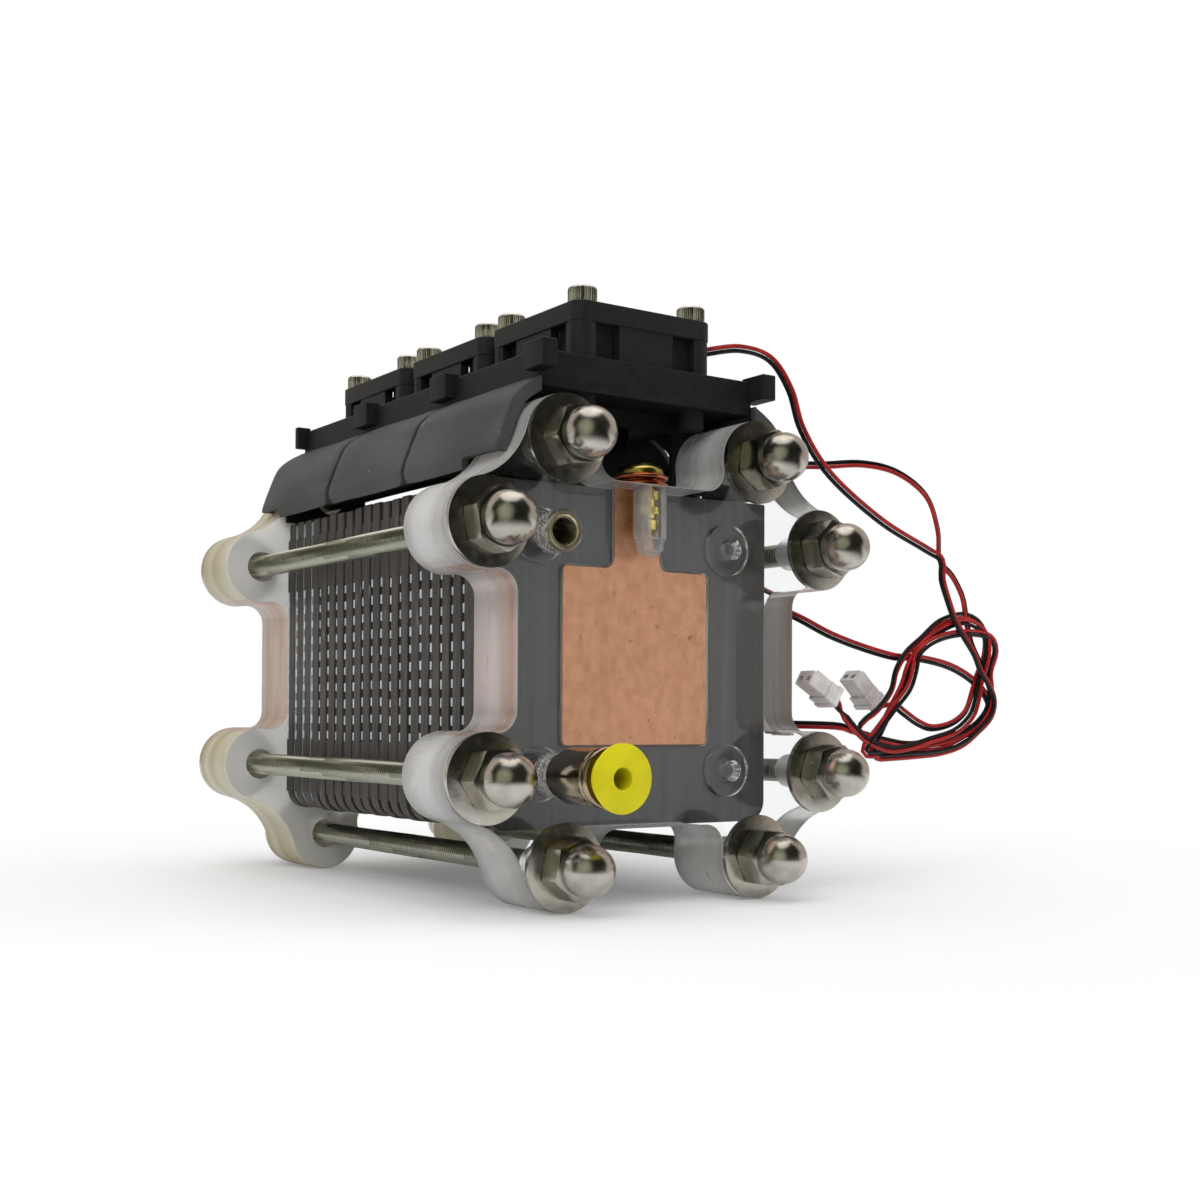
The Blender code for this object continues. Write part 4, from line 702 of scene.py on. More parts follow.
def make_plate(word, outer_y, inner_y, faces, side, waist_glow):
    """An end plate: flat faces, milled edges, milky bores, polished ports and a waist painted with the copper
    glow seen through it.
    """
    inward = 1.0 if inner_y > outer_y else -1.0
    terminal_y = outer_y + inward * TERMINAL_FROM_FACE
    along = Matrix(((1, 0, 0, 0), (0, 0, inward, outer_y), (0, 1, 0, MIDDLE_Z), (0, 0, 0, 1)))
    end, seat = PLATE_THICK + OVER, PLATE_THICK - PORT_SEAT_DEEP
    cuts = bmesh.new()
    for x, z in rod_places():
        peg(cuts, ROD_HOLE_R, -OVER, end, 40, along @ at(x, z, 0.0))
    opening = [(0, end), (PORT_SEAT_R, end), (PORT_SEAT_R, seat)]
    through = opening + [(0.0024, seat), (0.0024, 0.011), (0.0046, 0.0105), (0.0046, -OVER), (0, -OVER)]
    blind = opening + [(0.0026, seat), (0.0026, seat - 0.0034), (0.0018, seat - 0.0044),
                       (0.0008, seat - 0.0048), (0, seat - 0.0049)]
    for sx, sz in CORNERS if word == "front" else ():
        lathe(cuts, through if sx < 0 else blind, 48, along @ at(sx * PORT_OFFSET, sz * PORT_OFFSET, 0.0))
    top, shoulder = PLATE_WAIST + OVER, PLATE_WAIST - WELL_DEEP
    well = [(0, top), (WELL_R, top), (WELL_R, shoulder), (0.0040, shoulder - 0.0004),
            (0.0036, shoulder - 0.0028), (0.0022, shoulder - 0.0042), (0, shoulder - 0.0046)]
    lathe(cuts, well, 40, at(0, terminal_y, MIDDLE_Z))
    prism(cuts, collector_outline(GAP, 0.0014, PLATE_WAIST + OVER), PLATE_THICK - COLLECTOR_THICK - GAP, end,
          along)
    body = solid(prism, plate_outline(), min(outer_y, inner_y), max(outer_y, inner_y), UPRIGHT, 0.00018)
    mesh = combined(f"end_plate_{word}_mesh", body, [(to_mesh(cuts, "plate_cuts"), "DIFFERENCE")])
    for face in mesh.polygons:
        x, y, z = face.center.x, face.center.y, face.center.z - MIDDLE_Z
        from_rods = min(math.hypot(x - rod_x, z - rod_z) for rod_x, rod_z in rod_places())
        from_port = math.hypot(abs(x) - PORT_OFFSET, abs(z) - PORT_OFFSET)
        if abs(face.normal.y) > 0.95 and from_rods > ROD_HOLE_R and from_port > PORT_SEAT_R + 0.0002:
            face.material_index = 0
        elif from_rods < ROD_HOLE_R + 0.0001:
            face.material_index = 2
        elif math.hypot(x, y - terminal_y) < WELL_R + 0.0002 and z > 0.02:
            face.material_index = 3
        elif from_port < PORT_SEAT_R + 0.0002:
            face.material_index = 4
        # The waist's middle stretch takes the edge painted with the copper glow seen through it.
        elif abs(x) > PLATE_WAIST - 0.0005 and abs(z) < COPPER_GLOW_HALF:
            face.material_index = 5
        else:
            face.material_index = 1
    add_piece(f"end_plate_{word}_clear", mesh, [faces, side, BORE, WELL, POLISHED, waist_glow],
              [f"end_plate_{word}"], angle=25)


# Tie rods with their washers and cap nuts.

NUT_CORNER_R = 0.0072      # corners of the hexagon, turned down
NUT_SIDES = 72
THREAD_PITCH = 0.0010
THREAD_DEEP = 0.00034
THREAD_SIDES = 16
THREAD_STEPS = 4           # rows of points per turn
WASHER_FLAT_R = 0.0055     # the washer crowns from here out
NUT_TURNS = (0.10, 0.42, -0.28, 0.20, -0.08, 0.33, 0.05, -0.36)


def hex_reach(angle):
    """Distance from the axis to a hexagon's side, as wide across flats as the nut."""
    step = math.pi / 3
    turn = (angle + step / 2) % step - step / 2
    return min(NUT_FLATS / 2 / math.cos(turn), NUT_CORNER_R)


def nut_rows(base, place):
    """A cap nut from its seat at base up to the tip of its dome."""
    slope = math.tan(math.radians(30))
    bevel_r = NUT_FLATS / 2 * 0.97
    top = base + NUT_HEX_H - 0.00004

    def hexagon(level, rise):
        """A row round the hexagon, bent by its bevel towards the corners."""
        row = circle(NUT_SIDES, hex_reach, level, UNIT)
        return [place @ Vector((p.x, p.y, level + max(0.0, math.hypot(p.x, p.y) - bevel_r) * rise))
                for p in row]

    profile = [(bevel_r - 0.00005, top), (DOME_R + 0.0001, top + 0.00002), (DOME_R - 0.00025, top + 0.00012),
               (DOME_R - 0.0002, top + 0.0005), (DOME_R - 0.00005, top + 0.0008),
               (DOME_R, top + DOME_RISE * 0.7)]
    profile += [(r, top + DOME_RISE + z) for r, z in arc(0.0, 0.0, DOME_R, 0, 84, 14)]
    profile.append((0, top + DOME_RISE + DOME_R))
    return (turned([(bevel_r, base)], NUT_SIDES, place) + [hexagon(base, slope * 0.6), hexagon(top, -slope)]
            + turned(profile, NUT_SIDES, place))


def thread(r, z, angle):
    """The rod's radius along its thread."""
    phase = (z / THREAD_PITCH - angle / (2 * math.pi)) % 1.0
    return r - THREAD_DEEP * (1 - abs(2 * phase - 1)) ** 0.8


def rod_mesh(turn):
    """A threaded rod along the part's y, with a washer and a cap nut at both ends."""
    shape = bmesh.new()
    half = (REAR_Y - FRONT_Y) / 2
    count = int(2 * half / THREAD_PITCH) * THREAD_STEPS
    lathe(shape, levels(ROD_R, -half, half, count), THREAD_SIDES, UNIT, thread, caps=True)
    # Faces deep in the thread's grooves take the darker steel: painted shade in the grooves.
    groove = (ROD_R - 0.00019) * math.cos(math.pi / THREAD_SIDES)
    for face in shape.faces:
        spot = face.calc_center_median()
        if math.hypot(spot.x, spot.y) < groove:
            face.material_index = 4
    seat, soft = half + 0.00004, 0.0003
    washer = seat + GAP - 0.00004 + WASHER_THICK
    profile = [(ROD_R - 0.0004, seat), (WASHER_R - soft, seat), (WASHER_R - soft * 0.3, seat + soft * 0.3),
               (WASHER_R, seat + soft)]
    crown = WASHER_R - WASHER_FLAT_R
    for k in range(9):
        r = WASHER_R - crown * (k / 8) ** 1.6
        profile.append((r, washer - 0.0004 * ((r - WASHER_FLAT_R) / crown) ** 2))
    profile += [(WASHER_FLAT_R, washer), (ROD_R - 0.0004, washer)]
    for end in SIDES:
        place = Matrix.Rotation(turn * end, 4, "Z") @ Matrix.Diagonal((1, 1, end, 1))
        lathe(shape, profile, 72, place, ring=True, mat=1)
        before = len(shape.faces)
        skin(shape, nut_rows(washer + 0.00002, place), caps=True, mat=2)
        shape.faces.ensure_lookup_table()
        for face in shape.faces[before:]:
            if abs(face.calc_center_median().z) > washer + NUT_HEX_H + 0.0004:
                face.material_index = 3
    return to_mesh(shape, "tie_rod")


def make_rods():
    for number, ((x, z), turn) in enumerate(zip(rod_places(), NUT_TURNS), 1):
        mesh = rod_mesh(math.pi / 6 + turn)
        mesh.transform(at(x, STACK_MID_Y, MIDDLE_Z + z) @ Matrix.Rotation(math.radians(-90), 4, "X"))
        add_piece(f"tie_rod_{number}_fine", mesh,
                  [ROD_STEEL, WASHER_STEEL, HEX_STEEL, DOME_STEEL, ROD_GROOVE_SHADE], [f"tie_rod_{number}"],
                  angle=28)


# Graphite cells with the seals that show in their edges.

DASH_COUNT = 10
DASH_PITCH = 0.00435
DASH_TALL = 0.0022
THICK_PLATE = 0.0036        # the thicker of a cell's two plates
MEMBRANE_CELLS = (16, 17, 18)   # cells behind which a membrane's edge shows


def cell_start(number):
    return INNER_Y + GAP + number * (CELL_THICK + GAP)


def cell_outline(side, low, high):
    """A plate's outline: rounded lower corners and nearly square upper ones."""
    return rounded([(-side, -low, CELL_CORNER_R), (side, -low, CELL_CORNER_R), (side, high, CELL_TOP_R),
                    (-side, high, CELL_TOP_R)], 8)


def make_cells():
    chance = random.Random(7)
    rim = CELL_HALF - 0.0010
    half = DASH_COUNT * DASH_PITCH / 2
    for number in range(CELL_COUNT):
        start = cell_start(number)
        side, low = CELL_HALF - chance.uniform(0.0, 0.00018), CELL_HALF - chance.uniform(0.0, 0.0004)
        high = CELL_HALF - chance.uniform(0.0, 0.0006)
        tall = min(low, high)
        shape = bmesh.new()
        prism(shape, cell_outline(side, low, high), start, start + THICK_PLATE, UPRIGHT, 0.00014)
        side -= chance.uniform(0.00008, 0.0002)
        low -= chance.uniform(0.0, 0.0005)
        high -= chance.uniform(-0.0003, 0.0007) if high < CELL_HALF - 0.0003 else 0.0004
        thin_start, thin_end = start + THICK_PLATE + 0.00008, start + CELL_THICK - 0.00012
        prism(shape, cell_outline(rim, low, high), thin_start, thin_end, UPRIGHT, 0.0001)
        for sx in SIDES:
            near, far = sorted((sx * (rim - 0.0004), sx * side))
            for low, high in ((-tall + 0.0045, -half + 0.0009), (half - 0.0009, tall - 0.0045)):
                block(shape, (near, thin_start + 0.00002, MIDDLE_Z + low), (far, thin_end, MIDDLE_Z + high),
                      0.0001, 0.00005)
        mesh = to_mesh(shape, "cell")
        for face in mesh.polygons:
            front = number == 0 and face.normal.y < -0.9
            rear = number == CELL_COUNT - 1 and face.normal.y > 0.9
            face.material_index = 1 if front or rear else 0
        add_piece(f"cell_{number + 1:02d}_fine", mesh, [GRAPHITE, GRAPHITE_FACE], [f"cell_{number + 1:02d}"])


def make_seals():
    """The pale seal dashes, the dark teeth between them and the near-black sheets sunk in the joints, which
    are painted shade in the gaps between cells.
    """
    chance = random.Random(11)
    dashes, teeth, gap_shade, lines = (bmesh.new() for _ in range(4))
    inside = CELL_HALF - 0.0012
    for number in range(CELL_COUNT):
        start = cell_start(number)
        slot_start, slot_end = start + 0.00372, start + CELL_THICK - 0.0002
        lift = chance.uniform(-0.0003, 0.0003)
        outline = cell_outline(CELL_HALF - 0.0009, CELL_HALF - 0.0013, CELL_HALF - 0.0011)
        # A near-black sheet sunk in each joint: painted shade in the gap between cells.
        prism(gap_shade, outline, slot_end, start + CELL_THICK + GAP + 0.00005, UPRIGHT)
        for sx in SIDES:
            for k in range(DASH_COUNT):
                mid = MIDDLE_Z + (k - (DASH_COUNT - 1) / 2) * DASH_PITCH + lift
                out = CELL_HALF - 0.00022 - chance.uniform(0.0, 0.00008)
                wide = slot_end - chance.uniform(0.0, 0.00012)
                tall = DASH_TALL / 2 + chance.uniform(-0.00012, 0.00012)
                near, far = sorted((sx * inside, sx * out))
                block(dashes, (near, slot_start, mid - tall), (far, wide, mid + tall), 0.00012, 0.00008)
                if k < DASH_COUNT - 1:
                    low, high = mid + DASH_TALL / 2 + 0.0002, mid + DASH_PITCH - DASH_TALL / 2 - 0.0002
                    out = CELL_HALF - 0.00045 - chance.uniform(0.0, 0.0002)
                    near, far = sorted((sx * inside, sx * out))
                    block(teeth, (near, slot_start, low), (far, slot_end - 0.0002, high), 0.0001, 0.00005)
    for number in MEMBRANE_CELLS:
        y = cell_start(number) + CELL_THICK + 0.00008
        prism(lines, cell_outline(CELL_HALF - 0.0003, CELL_HALF - 0.0006, CELL_HALF - 0.0009),
              y, y + 0.00006, UPRIGHT)
    for name, shape, material in (("seal_dashes", dashes, SEAL_PALE), ("seal_teeth", teeth, GRAPHITE),
                                  ("shaded_joint_sheets", gap_shade, JOINT_SHADE),
                                  ("membrane_edges", lines, SEAL_PALE)):
        add_piece(name, to_mesh(shape, name), [material])


# Copper collectors and their terminals.

TAB_Z = PLATE_WAIST + GAP    # underside of the collector's tab
TAB_BEND = 0.0012


def make_collector(word, outer_y, inner_y):
    """A copper sheet whose neck bends over the plate's edge into a rounded tab."""
    inward = 1.0 if inner_y > outer_y else -1.0
    terminal_y = outer_y + inward * TERMINAL_FROM_FACE
    thick, neck = COLLECTOR_THICK, COLLECTOR_NECK
    low, high = sorted((inner_y, inner_y - inward * thick))
    body = solid(prism, collector_outline(0.0, 0.0012, TAB_Z - TAB_BEND + thick), low, high, UPRIGHT, 0.00012)
    reach = abs(inner_y - outer_y) - TERMINAL_FROM_FACE
    outline = arc(0.0, 0.0, neck, 180, 360, 24) + [(neck, reach - TAB_BEND), (-neck, reach - TAB_BEND)]
    place = Matrix(((1, 0, 0, 0), (0, inward, 0, terminal_y), (0, 0, 1, MIDDLE_Z), (0, 0, 0, 1)))
    tab = solid(prism, outline, TAB_Z, TAB_Z + thick, place, 0.00035)
    centre_y, centre_z = inner_y - inward * (thick / 2 + TAB_BEND), MIDDLE_Z + TAB_Z + thick / 2 - TAB_BEND
    outer, inner = (arc(0.0, 0.0, TAB_BEND + side * thick / 2 + 0.0001, 0, 90, 9) for side in (1, -1))
    section = [(centre_y + inward * y, centre_z + z) for y, z in outer + list(reversed(inner))]
    bend = solid(skin, [[Vector((sx * (neck - 0.00002), y, z)) for y, z in section] for sx in SIDES],
                 caps=True)
    hole = solid(peg, 0.0028, TAB_Z - 0.001, TAB_Z + 0.003, 32, at(0, terminal_y, MIDDLE_Z))
    mesh = combined(f"collector_{word}_mesh", body, [(bend, "UNION"), (tab, "UNION"), (hole, "DIFFERENCE")])
    for face in mesh.polygons:
        height = face.center.z - MIDDLE_Z
        face.material_index = 2 if height > TAB_Z - 0.0005 else 1 if height > COLLECTOR_HALF + 0.0035 else 0
    add_piece(f"collector_{word}_fine", mesh, [COPPER, COPPER_NECK, COPPER_RING], [f"collector_{word}"])


def knurled(depth, count, lead, low=-1.0, high=1.0):
    """A radius that makes crossed grooves between two levels."""
    def radius(r, z, angle):
        around = angle * count / (2 * math.pi)
        near = min(abs(2 * ((around + z / lead) % 1.0) - 1), abs(2 * ((around - z / lead) % 1.0) - 1))
        return r - depth * (1 - near * 1.6) if low <= z <= high and near < 0.6 else r
    return radius


def make_terminal(word, outer_y, inner_y):
    """A cross-recessed pan screw, copper rings and the knurled insert in the milky well."""
    inward = 1.0 if inner_y > outer_y else -1.0
    place = at(0.0, outer_y + inward * TERMINAL_FROM_FACE, MIDDLE_Z)
    washer = TAB_Z + COLLECTOR_THICK + GAP
    pan = washer + 0.0015
    top = pan + 0.0032
    head = [(0, top), (0.0018, top - 0.00010), (0.0032, top - 0.0004), (0.0043, top - 0.0009),
            (0.0051, top - 0.0015), (0.0055, top - 0.0022), (0.0055, pan + 0.0002), (0.0053, pan),
            (0.0020, pan), (0.0020, PLATE_WAIST - 0.0104), (0.0014, PLATE_WAIST - 0.0110),
            (0, PLATE_WAIST - 0.0112)]
    mesh = solid(lathe, head, 48, place)
    for turn in (0.4, 0.4 + math.pi / 2):
        slot = solid(prism, rectangle(-0.0021, 0.0021, -0.00045, 0.00045, 0.0002, 3), top - 0.0014,
                     top + 0.001, place @ Matrix.Rotation(turn, 4, "Z"))
        mesh = combined("terminal_head", mesh, [(slot, "DIFFERENCE")])
    shape = bmesh.new()
    shape.from_mesh(mesh)
    for low, high, reach in ((washer, washer + 0.0004, 0.0050), (washer + 0.00045, pan - 0.00005, 0.0066)):
        round_by = (high - low) / 2
        bead = arc(reach - round_by, (low + high) / 2, round_by, -90, 86, 8)
        ring = [(0.0024, low)] + bead + [(0.0024, high)]
        lathe(shape, ring, 64, place, ring=True, mat=1)
    upper, lower = PLATE_WAIST - 0.0008, PLATE_WAIST - 0.0103
    for low, high in ((upper - 0.0020, upper), (upper - 0.0054, upper - 0.0038)):
        band = [(0.0021, low)] + levels(0.0035, low, high, 8) + [(0.0021, high)]
        lathe(shape, band, 88, place, knurled(0.0004, 22, 0.0024), ring=True, mat=2)
    core = [(0.0021, lower), (0.0031, lower), (0.0034, lower + 0.0003), (0.0034, lower + 0.0026),
            (0.0031, lower + 0.0029), (0.0028, lower + 0.0031), (0.0028, upper), (0.0021, upper)]
    lathe(shape, core, 40, place, ring=True, mat=2)
    add_piece(f"terminal_{word}_fine", to_mesh(shape, f"terminal_{word}"), [BRASS, COPPER_RING, BRASS],
              [f"terminal_{word}"])


# Gas fittings and seals in the ports.

KNURL_R = 0.00498
KNURL_LEAD = 0.0026
BODY_LONG = 0.0165        # inlet body
RIM_LONG = 0.0016
COLLET_R = 0.0076
COLLET_FLANGE = 0.0031
COLLET_TRAVEL = 0.0012


def make_outlet():
    """The threaded sleeve with a knurled outside."""
    place = axis_place(-PORT_OFFSET, FRONT_Y, MIDDLE_Z + PORT_OFFSET, (0, 1, 0))
    shape = bmesh.new()

    def screw(r, z, angle):
        phase = (z / 0.0008 - angle / (2 * math.pi)) % 1.0
        return r - 0.0003 * (1 - abs(2 * phase - 1))

    # The threaded bore takes the darker brass: painted shade inside the bore.
    threaded = turned(levels(0.0031, 0.0100, 0.0006, 60), 40, place, screw)
    skin(shape, threaded + turned([(0.0033, 0.0004)], 40, place), mat=2)
    lathe(shape, [(0.0033, 0.0004), (0.0036, 0.00005), (0.0043, 0.0), (0.0046, 0.0003), (0.00478, 0.0008),
                  (0.00478, 0.0018)], 40, place)
    outer = ([(0.0047, 0.0018)] + levels(KNURL_R, 0.0020, 0.0062, 16) + [(0.0046, 0.0066), (0.0046, 0.0070)]
             + levels(KNURL_R, 0.0072, 0.0098, 10) + [(0.0046, 0.0100), (0.0032, 0.0100)])
    lathe(shape, outer, 120, place, knurled(0.0003, 30, KNURL_LEAD, 0.0019, 0.0099), mat=1)
    bmesh.ops.remove_doubles(shape, verts=shape.verts, dist=1e-6)
    add_piece("outlet_sleeve_fine", to_mesh(shape, "outlet_sleeve"), [BRASS_GREY, KNURL_SILVER, BRASS_BORE_SHADE],
              ["outlet_sleeve"])


def make_inlet():
    """The push-in fitting: knurled insert in the plate, turned nickel body, bright rim and release collar."""
    place = axis_place(-PORT_OFFSET, FRONT_Y, MIDDLE_Z - PORT_OFFSET, (0, -1, 0))
    shape = bmesh.new()
    body = GAP + BODY_LONG
    rim = body + RIM_LONG
    profile = [(0.0044, rim), (0.0064, rim), (0.0067, rim - 0.0002), (0.0069, rim - 0.0006),
               (0.0069, body + 0.0001), (0.0067, body - 0.0002), (0.0061, body - 0.0005),
               (0.0061, body - 0.0010), (0.0064, body - 0.0014), (0.0064, 0.0042), (0.0062, 0.0038),
               (0.0058, 0.0034), (0.0058, 0.0026), (0.0053, 0.0018), (0.0053, 0.0006), (0.0050, GAP),
               (0.0044, GAP), (0.0044, -0.0004), (0.0024, -0.0006), (0.0024, 0.0118), (0.0044, 0.0122)]
    lathe(shape, profile, 64, place, ring=True)
    outer = ([(0.0026, 0.0001), (0.0044, 0.00010), (0.0047, -0.0002)] + levels(KNURL_R, -0.0006, -0.0048, 16)
             + [(0.0046, -0.0052), (0.0046, -0.0056)] + levels(KNURL_R, -0.0058, -0.0096, 12)
             + [(0.0046, -0.0099), (0.0026, -0.0099)])
    lathe(shape, outer, 120, place, knurled(0.0003, 30, KNURL_LEAD, -0.0098, -0.0003), ring=True, mat=1)
    add_piece("inlet_body_fine", to_mesh(shape, "inlet_body"), [NICKEL, KNURL_SILVER], ["inlet_body"])
    back = rim + COLLET_TRAVEL + GAP
    front = back + COLLET_FLANGE
    end = back - 0.0060 + COLLET_TRAVEL
    soft, thin = 0.0004, front - 0.0017
    profile = [(0.0024, front - 0.0002), (0.0026, front), (COLLET_R - soft, front),
               (COLLET_R - soft * 0.3, front - soft * 0.3), (COLLET_R, front - soft),
               (0.0075, front - 1.5 * soft), (0.0064, thin), (0.0062, thin - 0.0002), (0.0062, back),
               (0.0040, back), (0.0040, end), (0.0024, end)]
    add_piece("inlet_collet_fine", solid(lathe, profile, 72, place, ring=True), [YELLOW], ["inlet_collet"],
              body="collet")


def make_port_seals():
    """A seal ring in each seat of the front plate, with a flat lip inside it."""
    rings = bmesh.new()
    ring = []
    for k in range(12):
        angle = 2 * math.pi * k / 12
        ring.append((0.0054 + 0.00095 * math.cos(angle), 0.0006 * math.sin(angle)))
    lip = [(0.0030, 0.0003), (0.0030, 0.0001), (0.0033, -0.0001), (0.0048, -0.0001), (0.0048, 0.0003)]
    for sx, sz in CORNERS:
        place = axis_place(sx * PORT_OFFSET, INNER_Y - 0.0008, MIDDLE_Z + sz * PORT_OFFSET, (0, 1, 0))
        lathe(rings, ring, 56, place, ring=True)
        lathe(rings, lip, 56, place, ring=True)
    add_piece("port_seals", to_mesh(rings, "port_seals"), [SEAL_BLACK])


# Fans.

FAN_FLANGE = 0.0047
FAN_BASE_R = 0.0112        # motor base
FAN_BASE_THICK = 0.0016
HUB_R = 0.0106
HUB_DEEP = 0.0150
HUB_GAP = 0.0004
BLADE_COUNT = 7
BLADE_TIP_R = 0.0178
BLADE_ROOT_R = 0.0096


def screw_places():
    return [at(sx * FAN_HOLE_HALF, y + sy * FAN_HOLE_HALF, 0) for y in FAN_YS for sx, sy in CORNERS]


def fan_frame_mesh():
    """A square frame with two flanges, posts and windows at its corners, and a motor base on struts."""
    half, top = FAN_SIDE / 2, FAN_DEEP / 2
    waist = half - 0.00045
    steps = []
    for low in (-top, top - FAN_FLANGE):
        rim = solid(prism, rectangle(-half, half, -half, half, 0.0031, 6), low, low + FAN_FLANGE, UNIT,
                    0.0002)
        steps.append((rim, "UNION"))
    for sx, sy in CORNERS:
        post = at(sx * (half - 0.0034), sy * (half - 0.0034), 0.0)
        steps.append((solid(peg, 0.0033, -top + 0.002, top - 0.002, 32, post), "UNION"))
    bore = [(0, -top - 0.002), (0.0192, -top - 0.002), (0.0192, -top), (0.0188, -top + 0.0012),
            (0.0188, top - 0.0012), (0.0192, top), (0.0192, top + 0.002), (0, top + 0.002)]
    steps.append((solid(lathe, bore, 72), "DIFFERENCE"))
    holes, windows = bmesh.new(), bmesh.new()
    for sx, sy in CORNERS:
        peg(holes, 0.0016, -top - 0.001, top + 0.001, 20, at(sx * FAN_HOLE_HALF, sy * FAN_HOLE_HALF, 0))
        along, across = sorted((sx * 0.0078, sx * 0.0144)), sorted((sy * 0.0170, sy * 0.0220))
        low, high = -top + FAN_FLANGE, top - FAN_FLANGE
        block(windows, (along[0], across[0], low), (along[1], across[1], high))
        block(windows, (across[0], along[0], low), (across[1], along[1], high))
    steps += [(to_mesh(holes, "fan_holes"), "DIFFERENCE"), (to_mesh(windows, "fan_windows"), "DIFFERENCE")]
    base = [(0, top), (0.0108, top), (FAN_BASE_R, top - 0.0003), (FAN_BASE_R, top - FAN_BASE_THICK),
            (0, top - FAN_BASE_THICK)]
    steps.append((solid(lathe, base, 56), "UNION"))
    for turn in range(4):
        strut = solid(block, (0.0100, -0.0010, top - 0.0014), (0.0196, 0.0010, top - 0.0002), 0.0, 0.0001)
        strut.transform(Matrix.Rotation(math.pi / 2 * turn, 4, "Z"))
        steps.append((strut, "UNION"))
    blank = solid(prism, rectangle(-waist, waist, -waist, waist, 0.0026, 6), -top + 0.001, top - 0.001)
    return combined("fan_frame", blank, steps)


def rotor_mesh():
    """The hub with its swept, cambered blades."""
    shape = bmesh.new()
    deep, hub = HUB_DEEP, HUB_R
    cap = [(0, 0.0), (hub, 0.0), (hub, -deep + 0.0012), (hub - 0.0004, -deep + 0.0004), (hub - 0.0013, -deep),
           (0.0060, -deep), (0.0057, -deep + 0.0002), (0, -deep + 0.0002)]
    lathe(shape, cap, 56)
    for blade in range(BLADE_COUNT):
        rows = []
        for s in range(7):
            out = BLADE_ROOT_R + (BLADE_TIP_R - BLADE_ROOT_R) * s / 6
            root = 2 * math.pi * blade / BLADE_COUNT + 0.16 * (s / 6) ** 1.3
            front, back = [], []
            for i in range(9):
                share = 2 * i / 8 - 1
                camber = 0.0009 * (1 - share ** 2)
                angle = root + (0.0036 * share + camber) / max(out, 0.012)
                thick = 0.00042 * (1 - 0.6 * share ** 2)
                for side, points in ((1, front), (-1, back)):
                    turn = angle + side * thick * 0.85 / out
                    points.append(Vector((out * math.cos(turn), out * math.sin(turn),
                                          -0.0055 * share + camber + side * thick * 0.5 - deep / 2)))
            rows.append(front + list(reversed(back)))
        skin(shape, rows, caps=True)
    return to_mesh(shape, "fan_rotor")


def make_fans():
    frame_mesh, spin_mesh = fan_frame_mesh(), rotor_mesh()
    for number, (y, word) in enumerate(zip(FAN_YS, ("front", "middle", "rear")), 1):
        mesh = frame_mesh.copy()
        mesh.transform(at(0, y, (FAN_BASE_Z + FAN_TOP_Z) / 2))
        add_piece(f"fan_frame_{number}_fine", mesh, [FAN_BLACK], [f"fan_frame_{number}"])
        mesh = spin_mesh.copy()
        mesh.transform(at(0, y, FAN_TOP_Z - FAN_BASE_THICK - HUB_GAP))
        add_piece(f"fan_rotor_{number}_fine", mesh, [ROTOR_BLACK, LABEL_GREY], [f"fan_rotor_{number}"],
                  body=f"rotor_{word}", angle=40)


def make_fan_screws():
    """Socket screws with ribbed heads."""
    screws = bmesh.new()
    head, top, sides = FAN_TOP_Z + 0.0001, FAN_TOP_Z + GAP + 0.0036, 192
    outer = [(0.0019, top), (0.0029, top), (0.0033, top - 0.0003), (0.0035, top - 0.0007),
             (0.0035, head + 0.0003), (0.0034, head), (0.0015, head), (0.0015, FAN_BASE_Z)]

    def ribs(r, z, angle):
        return r if r < 0.0033 else r - 0.00016 * (0.5 + 0.5 * math.cos(angle * 40))

    for place in screw_places():
        lathe(screws, [(0, top - 0.0021), (0.0013, top - 0.0020)], 6, place)
        hexagon = turned([(0.00175, top - 0.0019), (0.00175, top)], 6, place)
        skin(screws, hexagon)
        lathe(screws, outer, sides, place, ribs)
        close_socket(screws, hexagon[1], turned(outer[:1], sides, place)[0])
    add_piece("fan_screw_heads", to_mesh(screws, "fan_screw_heads"), [SCREW_STEEL], angle=30)


def close_socket(shape, hexagon, ring):
    """Joins the socket's hexagon to the round edge of the head's top."""
    inner = [shape.verts.new(p) for p in hexagon]
    outer = [shape.verts.new(p) for p in ring]
    per = len(ring) // 6
    for i in range(6):
        mid = outer[(i * per + per // 2) % len(ring)]
        for k in range(per):
            a, b = outer[(i * per + k) % len(ring)], outer[(i * per + k + 1) % len(ring)]
            corner = inner[i] if k < per // 2 else inner[(i + 1) % 6]
            shape.faces.new((corner, a, b))
        shape.faces.new((inner[i], mid, inner[(i + 1) % 6]))


# The tray and the flaps.

CLIP_OUT = 0.0030
CLIP_TALL = 0.0062
CLIP_RISE = 0.0010           # clip's top above the tray's
CLIP_LONG = 0.0082
END_CLIP_FORWARD = 0.0058
REAR_CLIP_LONG = 0.0020
END_WALL = 0.0014
BOSS_R = 0.0034
BOSS_TALL = 0.0045
# The flap's outer curve from the tray's edge down, in millimetres from the stack's axis.
FLAP_PROFILE = [(31.3, 63.0), (33.6, 61.8), (36.2, 60.1), (38.0, 58.5), (39.2, 56.9), (40.1, 55.0),
                (41.2, 52.3), (42.4, 49.2), (43.3, 46.6)]
FLAP_TIP = [(43.6, 45.4), (43.6, 44.4), (43.3, 43.2), (42.9, 42.1)]


def flap_curve(depth, lip=True):
    """The flap's curve moved inwards by a depth, as x and z."""
    line = [(p.x, p.z) for p in smooth_line([(x, 0.0, z) for x, z in FLAP_PROFILE], 0.9)]
    line += FLAP_TIP if lip else []
    points, last = [], len(line) - 1
    for i, (x, z) in enumerate(line):
        before, after = line[max(i - 1, 0)], line[min(i + 1, last)]
        along = Vector((after[0] - before[0], after[1] - before[1])).normalized()
        out = max(x / 1000 + along.y * depth, TRAY_HALF + GAP)
        points.append((out, MIDDLE_Z + z / 1000 - along.x * depth))
    return points


